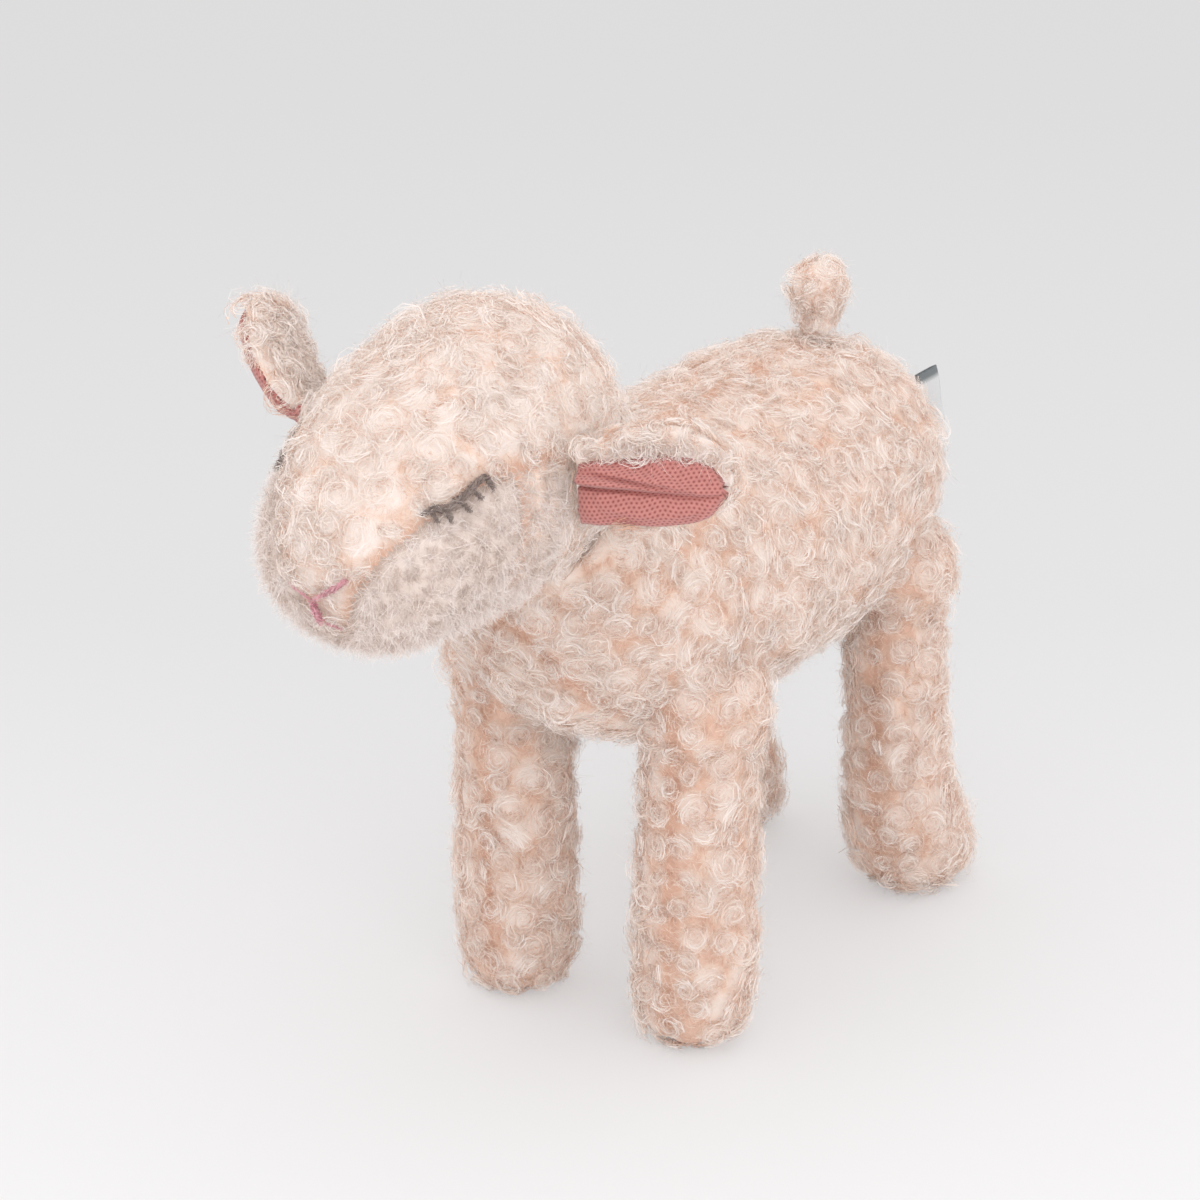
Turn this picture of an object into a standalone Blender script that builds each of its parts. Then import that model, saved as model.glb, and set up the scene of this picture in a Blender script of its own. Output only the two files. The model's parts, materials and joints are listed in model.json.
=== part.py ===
"""Plush sheep toy on four legs: sewn covers over soft filling, at real size.

Metres, +Z up. The sheep faces -Y and its left side is +X. It is drawn with the
torso's middle on the Z axis, then stands with its whole box over the origin.
"""

import math

import bmesh
import bpy
from mathutils import Matrix, Vector
from mathutils.bvhtree import BVHTree

# Driving sizes of the cloth, the seams and the running gaps
COVER = 0.0032
SEAM_GAP = 0.0003
FILLING_GAP = 0.0003
JOINT_GAP = 0.0005
OVERRUN = 0.004
CREASE_DEG = 40.0
FOOT_FLAT_DEPTH = 0.0005
THREAD_RADIUS = 0.0006
WELD_DISTANCE = 0.00001
BLOCK_SIZE = 1.0

# Body: half sizes, and the height of its middle above the floor
BODY_HALF_LENGTH = 0.078
BODY_HALF_WIDTH = 0.043
BODY_HALF_DEPTH = 0.0405
BODY_HEIGHT = 0.1185
# Sections from rump to neck: along, rise, width, depth, and the pitch in degrees
BODY_SECTION_SHARES = (
    (0.99, 0.08, 0.34, 0.34, 0),
    (0.87, 0.05, 0.72, 0.72, 0),
    (0.58, -0.02, 0.97, 0.95, 0),
    (0.16, -0.05, 1.00, 0.98, 0),
    (-0.30, -0.07, 0.98, 1.00, 0),
    (-0.66, -0.06, 0.97, 0.97, 8),
    (-0.86, 0.12, 0.88, 0.84, 28),
    (-0.98, 0.48, 0.72, 0.64, 45),
    (-1.17, 1.06, 0.50, 0.46, 50),
)
# The belly gusset ends in a point at this height above the body's middle
GUSSET_POINT = 0.008
GUSSET_SLOPE_DEG = 58.0

# Head: skull ball, its place from the body's middle, and the face that tapers forward
SKULL_RADIUS = 0.037
SKULL_AHEAD = 0.105
SKULL_RISE = 0.055
FACE_LENGTH = 0.066
HEAD_PITCH_DEG = 19.0
# Sections of the face: along, rise, width, depth
FACE_SECTION_SHARES = (
    (0.28, 0.06, 0.99, 0.92),
    (0.52, 0.09, 0.93, 0.78),
    (0.74, 0.09, 0.82, 0.61),
    (0.90, 0.05, 0.63, 0.49),
    (0.985, 0.02, 0.34, 0.27),
)
SKULL_RINGS = 4
SKULL_FIRST_RING_DEG = 78.0
# The crown gusset's edges run from the muzzle over the eyes to the ears
CROWN_DROP = 0.065
CROWN_SLOPE_SHARE = 2.28
CROWN_RISE = 0.057
CROWN_END = 0.004
CHEEK_BACK = 0.030
CHEEK_LEAN_SHARE = 0.49

# Neck: a stuffed stub on the line from the skull's middle into the body
NECK_RADIUS = 0.011
NECK_TILT_DEG = 40.0
NECK_DEPTH_IN_BODY = 0.014
NOD_DEG = 12.0

# Legs: hips are balls that turn in the body's sockets
FRONT_HIP_RADIUS = 0.018
HIND_HIP_RADIUS = 0.0168
HIP_BELOW_MIDDLE = 0.0245
FRONT_HIP_SPACING = 0.057
FRONT_FOOT_SPACING = 0.053
FRONT_ROW_AHEAD = 0.0505
HIND_HIP_SPACING = 0.054
HIND_FOOT_SPACING = 0.061
HIND_ROW_BEHIND = 0.0475
LEG_RADIUS = 0.0165
LEG_SWING_DEG = 12.0
# Sections of a leg from the sole up: height, width, depth
FRONT_LEG_SECTION_SHARES = (
    (0.00, 0.52, 0.55),
    (0.02, 0.76, 0.80),
    (0.09, 0.94, 0.95),
    (0.20, 1.00, 1.02),
    (0.70, 0.95, 0.95),
    (0.92, 0.94, 0.96),
    (1.06, 0.60, 0.60),
)
HIND_LEG_SECTION_SHARES = (
    (0.00, 0.52, 0.70),
    (0.02, 0.78, 1.02),
    (0.09, 0.98, 1.20),
    (0.20, 1.02, 1.22),
    (0.36, 0.90, 1.00),
    (0.62, 0.80, 0.82),
    (0.88, 0.92, 0.96),
    (1.06, 0.60, 0.60),
)
ANKLE_SECTION = 4
HIND_FOOT_BACK = 0.0115

# Ears: leaves that stand off the skull's sides
EAR_LENGTH = {"left": 0.0325, "right": 0.0305}
EAR_WIDTH = 0.026
EAR_CUP = 0.004
EAR_LINING = 0.0012
EAR_FORWARD_SHARE = 0.28
# The left ear hangs back and level, the right one stands up
EAR_HEIGHT_DEG = {"left": 13.5, "right": 14.0}
EAR_ROLL_DEG = {"left": 12.0, "right": -75.0}
EAR_SWEEP_DEG = {"left": 33.0, "right": 26.0}
EAR_RAISE_DEG = {"left": 2.0, "right": 40.5}
# Outline of an ear: along, half width
EAR_OUTLINE_SHARES = (
    (0.00, 0.60),
    (0.12, 0.76),
    (0.35, 0.96),
    (0.60, 1.00),
    (0.84, 0.86),
    (1.00, 0.46),
)
EAR_COLUMN_SHARES = (-1.0, -0.5, 0.0, 0.5, 1.0)
LINING_SHARE = 0.84
EAR_ROOT_RADIUS = 0.0024
EAR_ROOT_GAP = 0.0007
EAR_NEST_GAP = 0.0006

# Tail: a ball on a short stem
TAIL_BEHIND = 0.0505
TAIL_RADIUS = 0.0075
TAIL_ROOT_RADIUS = 0.0052
TAIL_OPENING_RADIUS = 0.0015
TAIL_STEM_LENGTH = 0.0098
TAIL_HINGE_RISE = 0.0032
TAIL_COVER = 0.0022
TAIL_ROOT_RINGS_DEG = (-65, -30, 10)
TAIL_POMPON_RINGS_DEG = (-50, -18, 14, 45, 72)

# Label: a folded ribbon sewn in at the left of the rump
LABEL_HEIGHT = 0.017
LABEL_REACH = 0.007
LABEL_THICKNESS = 0.0012
LABEL_FOLD_GAP = 0.0004
LABEL_AZIMUTH_DEG = 59.0
LABEL_BEHIND = 0.040
LABEL_RISE = 0.0125

# Closed eyes: places along the face and above its middle line
EYE_ARC_SHARES = (
    (0.68, 0.59),
    (0.65, 0.58),
    (0.60, 0.555),
    (0.54, 0.56),
    (0.48, 0.585),
    (0.43, 0.61),
)
EYE_POINTS = 9
LASHES = 5
LASH_LENGTH = 0.0030
LASH_UPRIGHT_SHARE = 0.4
LASH_STEP_SHARES = (0, 0.5, 1)
NOSE_RISE_DEG = 4.0
NOSE_ARM = 0.0095
NOSE_STEM = 0.006
MOUTH_ARM = 0.005
NOSE_STEPS = 3
NOSE_SPREAD_DEG = 57.0

# Colour, roughness and metallic value of each material
MATERIALS = {
    "boucle": ((0.83, 0.69, 0.60), 0.95, 0.0),
    "brushed": ((0.74, 0.64, 0.57), 0.95, 0.0),
    "lining": ((0.60, 0.22, 0.20), 0.80, 0.0),
    "filling": ((0.90, 0.90, 0.88), 1.0, 0.0),
    "lash": ((0.06, 0.045, 0.04), 0.6, 0.0),
    "nose": ((0.55, 0.16, 0.17), 0.6, 0.0),
    "label": ((0.85, 0.85, 0.84), 0.5, 0.0),
}

TORSO_SIDES = 8
LEG_SIDES = 6
SOCKET_SEGMENTS = 24
HIP_SEGMENTS = 16
CORE_SEGMENTS = 12
ROOT_SEGMENTS = 12
TAIL_SIDES = 6


def clear_scene():
    for old in list(bpy.data.objects):
        bpy.data.objects.remove(old, do_unlink=True)


def new_collection(name, hidden=False):
    made = bpy.data.collections.new(name)
    bpy.context.scene.collection.children.link(made)
    made.hide_render = hidden
    return made


def new_material(name):
    color, roughness, metallic = MATERIALS[name]
    material = bpy.data.materials.new(name)
    material.use_nodes = True
    shader = material.node_tree.nodes["Principled BSDF"]
    shader.inputs["Base Color"].default_value = (*color, 1.0)
    shader.inputs["Roughness"].default_value = roughness
    shader.inputs["Metallic"].default_value = metallic
    material.diffuse_color = (*color, 1.0)
    return material


clear_scene()
SHEEP = new_collection("plush_sheep")
CUTTERS = new_collection("cutters", hidden=True)
MATERIAL = {name: new_material(name) for name in MATERIALS}


def add_object(name, mesh, collection):
    made = bpy.data.objects.new(name, mesh)
    collection.objects.link(made)
    if collection is CUTTERS:
        made.hide_render = True
        made.display_type = "WIRE"
    return made


def mesh_from(build, name):
    """A mesh filled by build(bmesh), with its faces turned outward."""
    shape = bmesh.new()
    build(shape)
    bmesh.ops.recalc_face_normals(shape, faces=shape.faces)
    mesh = bpy.data.meshes.new(name)
    shape.to_mesh(mesh)
    shape.free()
    return mesh


def evaluated(obj):
    """The object's mesh with its modifiers applied and its placing baked in."""
    bpy.context.view_layer.update()
    graph = bpy.context.evaluated_depsgraph_get()
    mesh = bpy.data.meshes.new_from_object(obj.evaluated_get(graph))
    mesh.transform(obj.matrix_world)
    return mesh


def cutter(name, mesh):
    return add_object(name, mesh, CUTTERS)


def piece(name, mesh, material, pivot=None):
    """A finished piece, whose origin stands on its joint when it moves."""
    mesh.materials.clear()
    mesh.materials.append(MATERIAL[material])
    made = add_object(name, mesh, SHEEP)
    mesh.shade_smooth()
    mesh.set_sharp_from_angle(angle=math.radians(CREASE_DEG))
    if pivot:
        mesh.transform(Matrix.Translation(-pivot))
        made.location = pivot
    return made


def boolean(target, operation, other):
    modifier = target.modifiers.new(f"{operation} {other.name}", "BOOLEAN")
    modifier.operation = operation
    modifier.solver = "EXACT"
    modifier.use_self = True
    modifier.object = other


def cut(target, *others):
    for other in others:
        boolean(target, "DIFFERENCE", other)


def keep(target, *others):
    for other in others:
        boolean(target, "INTERSECT", other)


def joined(name, first, *others):
    """One cutter made of several closed meshes."""
    whole = cutter(f"{name} parts", first)
    for number, other in enumerate(others):
        boolean(whole, "UNION", cutter(f"{name} part {number}", other))
    return cutter(name, evaluated(whole))


def carved(name, mesh, *others):
    """A closed mesh with several cutters taken out of it."""
    whole = cutter(f"{name} uncut", mesh)
    cut(whole, *others)
    return evaluated(whole)


def smooth_loft(name, rings):
    """A closed soft form over coarse rings of points, as a mesh."""

    def build(shape):
        loops = [[shape.verts.new(point) for point in ring] for ring in rings]
        for low, high in zip(loops, loops[1:]):
            for side in range(len(low)):
                after = (side + 1) % len(low)
                shape.faces.new((low[side], low[after], high[after], high[side]))
        shape.faces.new(loops[0])
        shape.faces.new(loops[-1])

    cage = cutter(f"{name} cage", mesh_from(build, name))
    rounding = cage.modifiers.new("rounding", "SUBSURF")
    rounding.levels = 1
    rounding.render_levels = 1
    cage.modifiers.new("triangles", "TRIANGULATE")
    return evaluated(cage)


def ring(sides, middle, side_way, up_way, half_width, half_depth):
    """Points round a section, half a step off its axes so that cuts miss them.

    They stand outside the section by what the rounding takes off.
    """
    swell = 6 / (4 + 2 * math.cos(math.tau / sides))
    points = []
    for number in range(sides):
        turn = math.tau * (number + 0.5) / sides
        across = side_way * half_width * math.cos(turn)
        rise = up_way * half_depth * math.sin(turn)
        points.append(middle + (across + rise) * swell)
    return points


def inset(mesh, depth):
    """A copy of a closed mesh whose surface lies deeper by a set depth."""
    inner = mesh.copy()
    for vertex, normal in zip(inner.vertices, mesh.vertex_normals):
        vertex.co -= normal.vector * depth
    return inner


def ball(radius, middle, segments, axis="X"):
    def build(shape):
        bmesh.ops.create_uvsphere(
            shape, u_segments=segments, v_segments=segments // 2, radius=radius
        )

    mesh = mesh_from(build, "ball")
    if axis == "X":
        mesh.transform(Matrix.Rotation(math.pi / 2, 4, "Y"))
    mesh.transform(Matrix.Translation(middle))
    return mesh


def rod(radius, end_radius, start, end, segments):
    """A cylinder or cone from start to end."""
    along = end - start

    def build(shape):
        bmesh.ops.create_cone(
            shape,
            cap_ends=True,
            segments=segments,
            radius1=radius,
            radius2=end_radius,
            depth=along.length,
        )

    mesh = mesh_from(build, "rod")
    turn = along.to_track_quat("Z", "Y").to_matrix().to_4x4()
    mesh.transform(Matrix.Translation((start + end) / 2) @ turn)
    return mesh


def half_space(name, point, normal):
    """A large block whose one face passes through the point, on the normal's side."""

    def build(shape):
        bmesh.ops.create_cube(shape, size=BLOCK_SIZE)

    mesh = mesh_from(build, name)
    mesh.transform(Matrix.Translation((0, 0, BLOCK_SIZE / 2)))
    turn = normal.to_track_quat("Z", "Y").to_matrix().to_4x4()
    mesh.transform(Matrix.Translation(point) @ turn)
    return cutter(name, mesh)


def turned(mesh, pivot, degrees, axis="X"):
    copy = mesh.copy()
    spin = Matrix.Rotation(math.radians(degrees), 4, axis)
    copy.transform(Matrix.Translation(pivot) @ spin @ Matrix.Translation(-pivot))
    return copy


def wrapped(*meshes):
    """The convex form that just holds the meshes."""

    def build(shape):
        for mesh in meshes:
            shape.from_mesh(mesh)
        made = bmesh.ops.convex_hull(shape, input=shape.verts)
        spare = {*made["geom_interior"], *made["geom_unused"]}
        bmesh.ops.delete(shape, geom=[v for v in spare if isinstance(v, bmesh.types.BMVert)])
        hull = {face for face in made["geom"] if isinstance(face, bmesh.types.BMFace)}
        rest = [face for face in shape.faces if face not in hull]
        bmesh.ops.delete(shape, geom=rest, context="FACES")

    return mesh_from(build, "wrapped")


def surface_point(form, start, direction):
    """Where a ray from inside leaves a closed mesh, and the surface normal there."""
    tree = BVHTree.FromPolygons(
        [vertex.co for vertex in form.vertices], [tuple(face.vertices) for face in form.polygons]
    )
    point, normal, _, _ = tree.ray_cast(start, direction.normalized())
    return point, normal


# Places that several pieces share
HIP_HEIGHT = BODY_HEIGHT - HIP_BELOW_MIDDLE
LEFT_WAY = Vector((1, 0, 0))
BACK_WAY = Vector((0, 1, 0))
UP_WAY = Vector((0, 0, 1))
SKULL = Vector((0, -SKULL_AHEAD, BODY_HEIGHT + SKULL_RISE))
PITCH = math.radians(HEAD_PITCH_DEG)
FACE_WAY = Vector((0, -math.cos(PITCH), -math.sin(PITCH)))
CROWN_WAY = Vector((0, -math.sin(PITCH), math.cos(PITCH)))
NECK_TILT = math.radians(NECK_TILT_DEG)
NECK_WAY = Vector((0, math.sin(NECK_TILT), -math.cos(NECK_TILT)))
SOCKET_RADIUS = SKULL_RADIUS + JOINT_GAP
NECK_END = SKULL + NECK_WAY * (SOCKET_RADIUS + COVER + NECK_DEPTH_IN_BODY)
SIDES = {"left": 1, "right": -1}
ROWS = {
    "front": (
        -FRONT_ROW_AHEAD,
        FRONT_HIP_SPACING,
        FRONT_FOOT_SPACING,
        0,
        FRONT_LEG_SECTION_SHARES,
        FRONT_HIP_RADIUS,
    ),
    "hind": (
        HIND_ROW_BEHIND,
        HIND_HIP_SPACING,
        HIND_FOOT_SPACING,
        HIND_FOOT_BACK,
        HIND_LEG_SECTION_SHARES,
        HIND_HIP_RADIUS,
    ),
}


def body_form():
    rings = []
    for along, rise, width, depth, pitch in BODY_SECTION_SHARES:
        lean = math.radians(pitch)
        up = Vector((0, math.sin(lean), math.cos(lean)))
        height = BODY_HEIGHT + rise * BODY_HALF_DEPTH
        middle = Vector((0, along * BODY_HALF_LENGTH, height))
        size = (width * BODY_HALF_WIDTH, depth * BODY_HALF_DEPTH)
        rings.append(ring(TORSO_SIDES, middle, LEFT_WAY, up, *size))
    return smooth_loft("body", rings)


def head_form():
    rings = []
    for number in range(SKULL_RINGS):
        turn = math.radians(SKULL_FIRST_RING_DEG * (1 - number / SKULL_RINGS))
        middle = SKULL - FACE_WAY * SKULL_RADIUS * math.sin(turn)
        size = SKULL_RADIUS * math.cos(turn)
        rings.append(ring(TORSO_SIDES, middle, LEFT_WAY, CROWN_WAY, size, size))
    for along, rise, width, depth in FACE_SECTION_SHARES:
        middle = SKULL + FACE_WAY * along * FACE_LENGTH + CROWN_WAY * rise * SKULL_RADIUS
        size = (width * SKULL_RADIUS, depth * SKULL_RADIUS)
        rings.append(ring(TORSO_SIDES, middle, LEFT_WAY, CROWN_WAY, *size))
    return smooth_loft("head", rings)


def hip_place(side, row):
    place_y, hip_spacing = ROWS[row][:2]
    return Vector((side * hip_spacing / 2, place_y, HIP_HEIGHT))


def leg_form(side, row):
    place_y, hip_spacing, foot_spacing, foot_back, sections, _ = ROWS[row]
    ankle = sections[ANKLE_SECTION][0]
    rings = []
    for height, width, depth in sections:
        spacing = foot_spacing + (hip_spacing - foot_spacing) * min(height, 1)
        back = foot_back * max(0, 1 - height / ankle)
        middle = Vector((side * spacing / 2, place_y + back, height * HIP_HEIGHT - FOOT_FLAT_DEPTH))
        size = (width * LEG_RADIUS, depth * LEG_RADIUS)
        rings.append(ring(LEG_SIDES, middle, LEFT_WAY, BACK_WAY, *size))
    return smooth_loft("leg", rings)


BODY = body_form()
HEAD = head_form()


def leg_solid(side, row, depth, segments):
    """A leg with its hip ball, drawn in by a depth."""
    hip = ball(ROWS[row][-1] - depth, hip_place(side, row), segments)
    return joined(f"leg {row} {side} {depth:.4f}", inset(leg_form(side, row), depth), hip)


def leg_room(side, row):
    """What the leg sweeps through in the body, with its running gap."""
    hip = hip_place(side, row)
    shaft = inset(leg_form(side, row), -JOINT_GAP)
    swings = [turned(shaft, hip, swing) for swing in (-LEG_SWING_DEG, 0, LEG_SWING_DEG)]
    socket = ball(ROWS[row][-1] + JOINT_GAP, hip, HIP_SEGMENTS)
    return joined(f"leg {row} {side} room", socket, wrapped(*swings))


def ear_way(side):
    sweep = math.radians(EAR_SWEEP_DEG[side])
    raised = math.radians(EAR_RAISE_DEG[side])
    return Vector(
        (
            SIDES[side] * math.cos(sweep) * math.cos(raised),
            math.sin(sweep) * math.cos(raised),
            math.sin(raised),
        )
    )


NECK_SOCKET = rod(
    NECK_RADIUS + JOINT_GAP,
    NECK_RADIUS + JOINT_GAP,
    SKULL,
    NECK_END + NECK_WAY * JOINT_GAP,
    HIP_SEGMENTS,
)
HEAD_ROOM = joined("head room", ball(SOCKET_RADIUS, SKULL, SOCKET_SEGMENTS), NECK_SOCKET)
LEG_ROOMS = [leg_room(turn, row) for turn in SIDES.values() for row in ROWS]
TAIL_FOOT = Vector((0, TAIL_BEHIND, BODY_HEIGHT))
TAIL_SURFACE, _ = surface_point(BODY, TAIL_FOOT, UP_WAY)
TAIL_HINGE = TAIL_SURFACE + UP_WAY * TAIL_HINGE_RISE
TAIL_SOCKET = cutter(
    "tail socket", ball(TAIL_ROOT_RADIUS + JOINT_GAP, TAIL_HINGE, ROOT_SEGMENTS, "Y")
)


def wedge(name, *blocks):
    """The part of a block that other blocks share with it."""
    first, *others = blocks
    keep(first, *others)
    return cutter(name, evaluated(first))


def gusset_region(shift):
    """The wedge below the gusset's two edges, raised by a shift."""
    slope = math.radians(GUSSET_SLOPE_DEG)
    point = Vector((0, 0, BODY_HEIGHT + GUSSET_POINT + shift))
    blocks = []
    for side, turn in SIDES.items():
        way = Vector((-turn * math.sin(slope), 0, -math.cos(slope)))
        blocks.append(half_space(f"gusset {side} {shift:.4f}", point, way))
    return wedge(f"gusset region {shift:.4f}", *blocks)


def build_body():
    lining = cutter("body lining", inset(BODY, COVER))
    region = gusset_region(0)
    wider_region = gusset_region(SEAM_GAP / math.cos(math.radians(GUSSET_SLOPE_DEG)))
    rooms = (HEAD_ROOM, TAIL_SOCKET, *LEG_ROOMS)
    cloth = carved("body cloth", BODY.copy(), lining, *rooms)
    for side, turn in SIDES.items():
        panel = piece(f"body_side_{side}", cloth.copy(), "boucle")
        half = half_space(f"body {side} half", LEFT_WAY * turn * SEAM_GAP / 2, LEFT_WAY * turn)
        keep(panel, half)
        cut(panel, wider_region)
    gusset = piece("belly_gusset", cloth.copy(), "boucle")
    keep(gusset, region)
    filling = inset(BODY, COVER + FILLING_GAP)
    piece("body_filling", carved("body filling", filling, *rooms), "filling")


def crown_region(drop):
    """The wedge over the crown gusset's edges, lowered by a drop."""
    point = SKULL - CROWN_WAY * (CROWN_DROP + drop * CROWN_SLOPE_SHARE)
    end = SKULL - CROWN_WAY * (CROWN_END + drop)
    rise_share = CROWN_RISE / FACE_LENGTH
    blocks = [half_space(f"crown end {drop:.4f}", end, CROWN_WAY)]
    for side, turn in SIDES.items():
        way = CROWN_WAY - LEFT_WAY * turn * CROWN_SLOPE_SHARE - FACE_WAY * rise_share
        blocks.append(half_space(f"crown {side} {drop:.4f}", point, way))
    return wedge(f"crown region {drop:.4f}", *blocks)


def build_head():
    lining = cutter("head lining", inset(HEAD, COVER))
    reach = SOCKET_RADIUS + OVERRUN
    mouth = NECK_RADIUS + JOINT_GAP + reach * math.tan(math.radians(NOD_DEG))
    cone = rod(NECK_RADIUS + JOINT_GAP, mouth, SKULL, SKULL + NECK_WAY * reach, HIP_SEGMENTS)
    opening = cutter("neck opening", cone)
    pivot_room = cutter("neck pivot room", ball(NECK_RADIUS + JOINT_GAP, SKULL, HIP_SEGMENTS))
    cloth = carved("head cloth", HEAD.copy(), lining, opening)
    wider_crown = crown_region(SEAM_GAP)
    crown = piece("head_crown", cloth.copy(), "boucle", SKULL)
    keep(crown, crown_region(0))
    lean_way = FACE_WAY + CROWN_WAY * CHEEK_LEAN_SHARE
    seam = SKULL + FACE_WAY * CHEEK_BACK
    regions = (
        ("cheek", half_space("cheeks", seam + FACE_WAY * SEAM_GAP, lean_way), "brushed"),
        ("nape", half_space("nape", seam, -lean_way), "boucle"),
    )
    for side, turn in SIDES.items():
        half = half_space(f"head {side} half", LEFT_WAY * turn * SEAM_GAP / 2, LEFT_WAY * turn)
        for name, region, material in regions:
            panel = piece(f"head_{name}_{side}", cloth.copy(), material, SKULL)
            keep(panel, half, region)
            cut(panel, wider_crown)
    filling = inset(HEAD, COVER + FILLING_GAP)
    stuffing = carved("head filling", filling, opening, pivot_room)
    piece("head_filling", stuffing, "filling", SKULL)


def build_neck():
    stub = rod(NECK_RADIUS, NECK_RADIUS, SKULL, NECK_END, HIP_SEGMENTS)
    whole = joined("neck", stub, ball(NECK_RADIUS, SKULL, HIP_SEGMENTS))
    piece("neck_filling", whole.data.copy(), "filling", SKULL)


def build_leg(side, row):
    turn = SIDES[side]
    name = f"leg_{row}_{side}"
    outer = leg_solid(turn, row, 0, HIP_SEGMENTS)
    lining = leg_solid(turn, row, COVER, CORE_SEGMENTS)
    cloth = carved(f"{name} cloth", outer.data.copy(), lining)
    hip = hip_place(turn, row)
    lean = (ROWS[row][1] - ROWS[row][2]) / 2
    seam_way = Vector((HIP_HEIGHT, 0, -turn * lean)).normalized()
    floor = half_space(f"{name} floor", Vector(), UP_WAY)
    for panel_name, way in (("outer", turn), ("inner", -turn)):
        seam = hip + seam_way * way * SEAM_GAP / 2
        half = half_space(f"{name} {panel_name} half", seam, seam_way * way)
        panel = piece(f"{name}_{panel_name}", cloth.copy(), "boucle", hip)
        keep(panel, half, floor)
    filling = leg_solid(turn, row, COVER + FILLING_GAP, CORE_SEGMENTS)
    piece(f"{name}_filling", filling.data.copy(), "filling", hip)


def leaf_sheet(side, base, across_way, width_share, lift):
    """A cupped ear sheet from its root to its tip, lifted towards the cup."""
    along_way = ear_way(side)
    facing = (along_way.cross(across_way) * SIDES[side]).normalized()

    def build(shape):
        rows = []
        for along, half in EAR_OUTLINE_SHARES:
            row = []
            for column in EAR_COLUMN_SHARES:
                across = column * half * width_share
                curl = EAR_CUP * across**2 + lift
                place = along_way * EAR_LENGTH[side] * along + across_way * EAR_WIDTH / 2 * across
                row.append(shape.verts.new(base + place + facing * curl))
            rows.append(row)
        for low, high in zip(rows, rows[1:]):
            for number in range(len(EAR_COLUMN_SHARES) - 1):
                shape.faces.new((low[number], low[number + 1], high[number + 1], high[number]))

    return mesh_from(build, "ear sheet")


def thickened(name, mesh, thickness):
    """A sheet made solid to both sides, then rounded."""
    sheet = cutter(name, mesh)
    solid = sheet.modifiers.new("thickness", "SOLIDIFY")
    solid.thickness = thickness
    solid.offset = 0
    rounding = sheet.modifiers.new("rounding", "SUBSURF")
    rounding.levels = 1
    rounding.render_levels = 1
    return evaluated(sheet)


def ear_seat(side):
    """The ear's hinge beside the skull, and the way its root line runs along it."""
    turn = SIDES[side]
    height = math.radians(EAR_HEIGHT_DEG[side])
    out_way = (LEFT_WAY * turn * math.cos(height) + CROWN_WAY * math.sin(height)).normalized()
    out_way = (out_way + FACE_WAY * EAR_FORWARD_SHARE).normalized()
    seat, normal = surface_point(HEAD, SKULL, out_way)
    hinge = seat + normal * (EAR_ROOT_RADIUS + EAR_ROOT_GAP)
    roll = math.radians(EAR_ROLL_DEG[side])
    upright = (UP_WAY - normal * normal.z).normalized()
    across_way = upright * math.cos(roll) + upright.cross(normal) * turn * math.sin(roll)
    return hinge, across_way


def build_ear(side):
    hinge, across_way = ear_seat(side)
    leaf = thickened(f"ear {side} leaf", leaf_sheet(side, hinge, across_way, 1, 0), COVER)
    root_half = across_way * EAR_WIDTH / 2 * EAR_OUTLINE_SHARES[0][1]
    ends = (hinge - root_half, hinge + root_half)
    root = rod(EAR_ROOT_RADIUS, EAR_ROOT_RADIUS, *ends, ROOT_SEGMENTS)
    back = joined(f"ear {side}", leaf, root)
    piece(f"ear_{side}_back", back.data.copy(), "boucle", hinge)
    lift = (COVER + EAR_LINING) / 2 + EAR_NEST_GAP
    base = hinge + ear_way(side) * EAR_ROOT_RADIUS
    inner_sheet = leaf_sheet(side, base, across_way, LINING_SHARE, lift)
    lining = thickened(f"ear {side} lining", inner_sheet, EAR_LINING)
    piece(f"ear_{side}_lining", lining, "lining", hinge)


def tail_form():
    """A round root on the joint, a stem, and the pompon over it, as rings going up."""
    balls = (
        (TAIL_ROOT_RADIUS, 0, TAIL_ROOT_RINGS_DEG),
        (TAIL_RADIUS, TAIL_STEM_LENGTH, TAIL_POMPON_RINGS_DEG),
    )
    rings = []
    for radius, rise, angles in balls:
        for angle in angles:
            turn = math.radians(angle)
            middle = TAIL_HINGE + UP_WAY * (rise + radius * math.sin(turn))
            size = radius * math.cos(turn)
            rings.append(ring(TAIL_SIDES, middle, LEFT_WAY, BACK_WAY, size, size))
    return smooth_loft("tail", rings)


def build_tail():
    form = tail_form()
    low = TAIL_HINGE - UP_WAY * (TAIL_ROOT_RADIUS + OVERRUN)
    opening = rod(TAIL_OPENING_RADIUS, TAIL_OPENING_RADIUS, low, TAIL_HINGE, ROOT_SEGMENTS)
    cover = piece("tail_cover", form.copy(), "boucle", TAIL_HINGE)
    cut(cover, cutter("tail hollow", inset(form, TAIL_COVER)), cutter("tail opening", opening))
    stuffing = inset(form, TAIL_COVER + FILLING_GAP)
    piece("tail_filling", stuffing, "filling", TAIL_HINGE)


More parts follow.
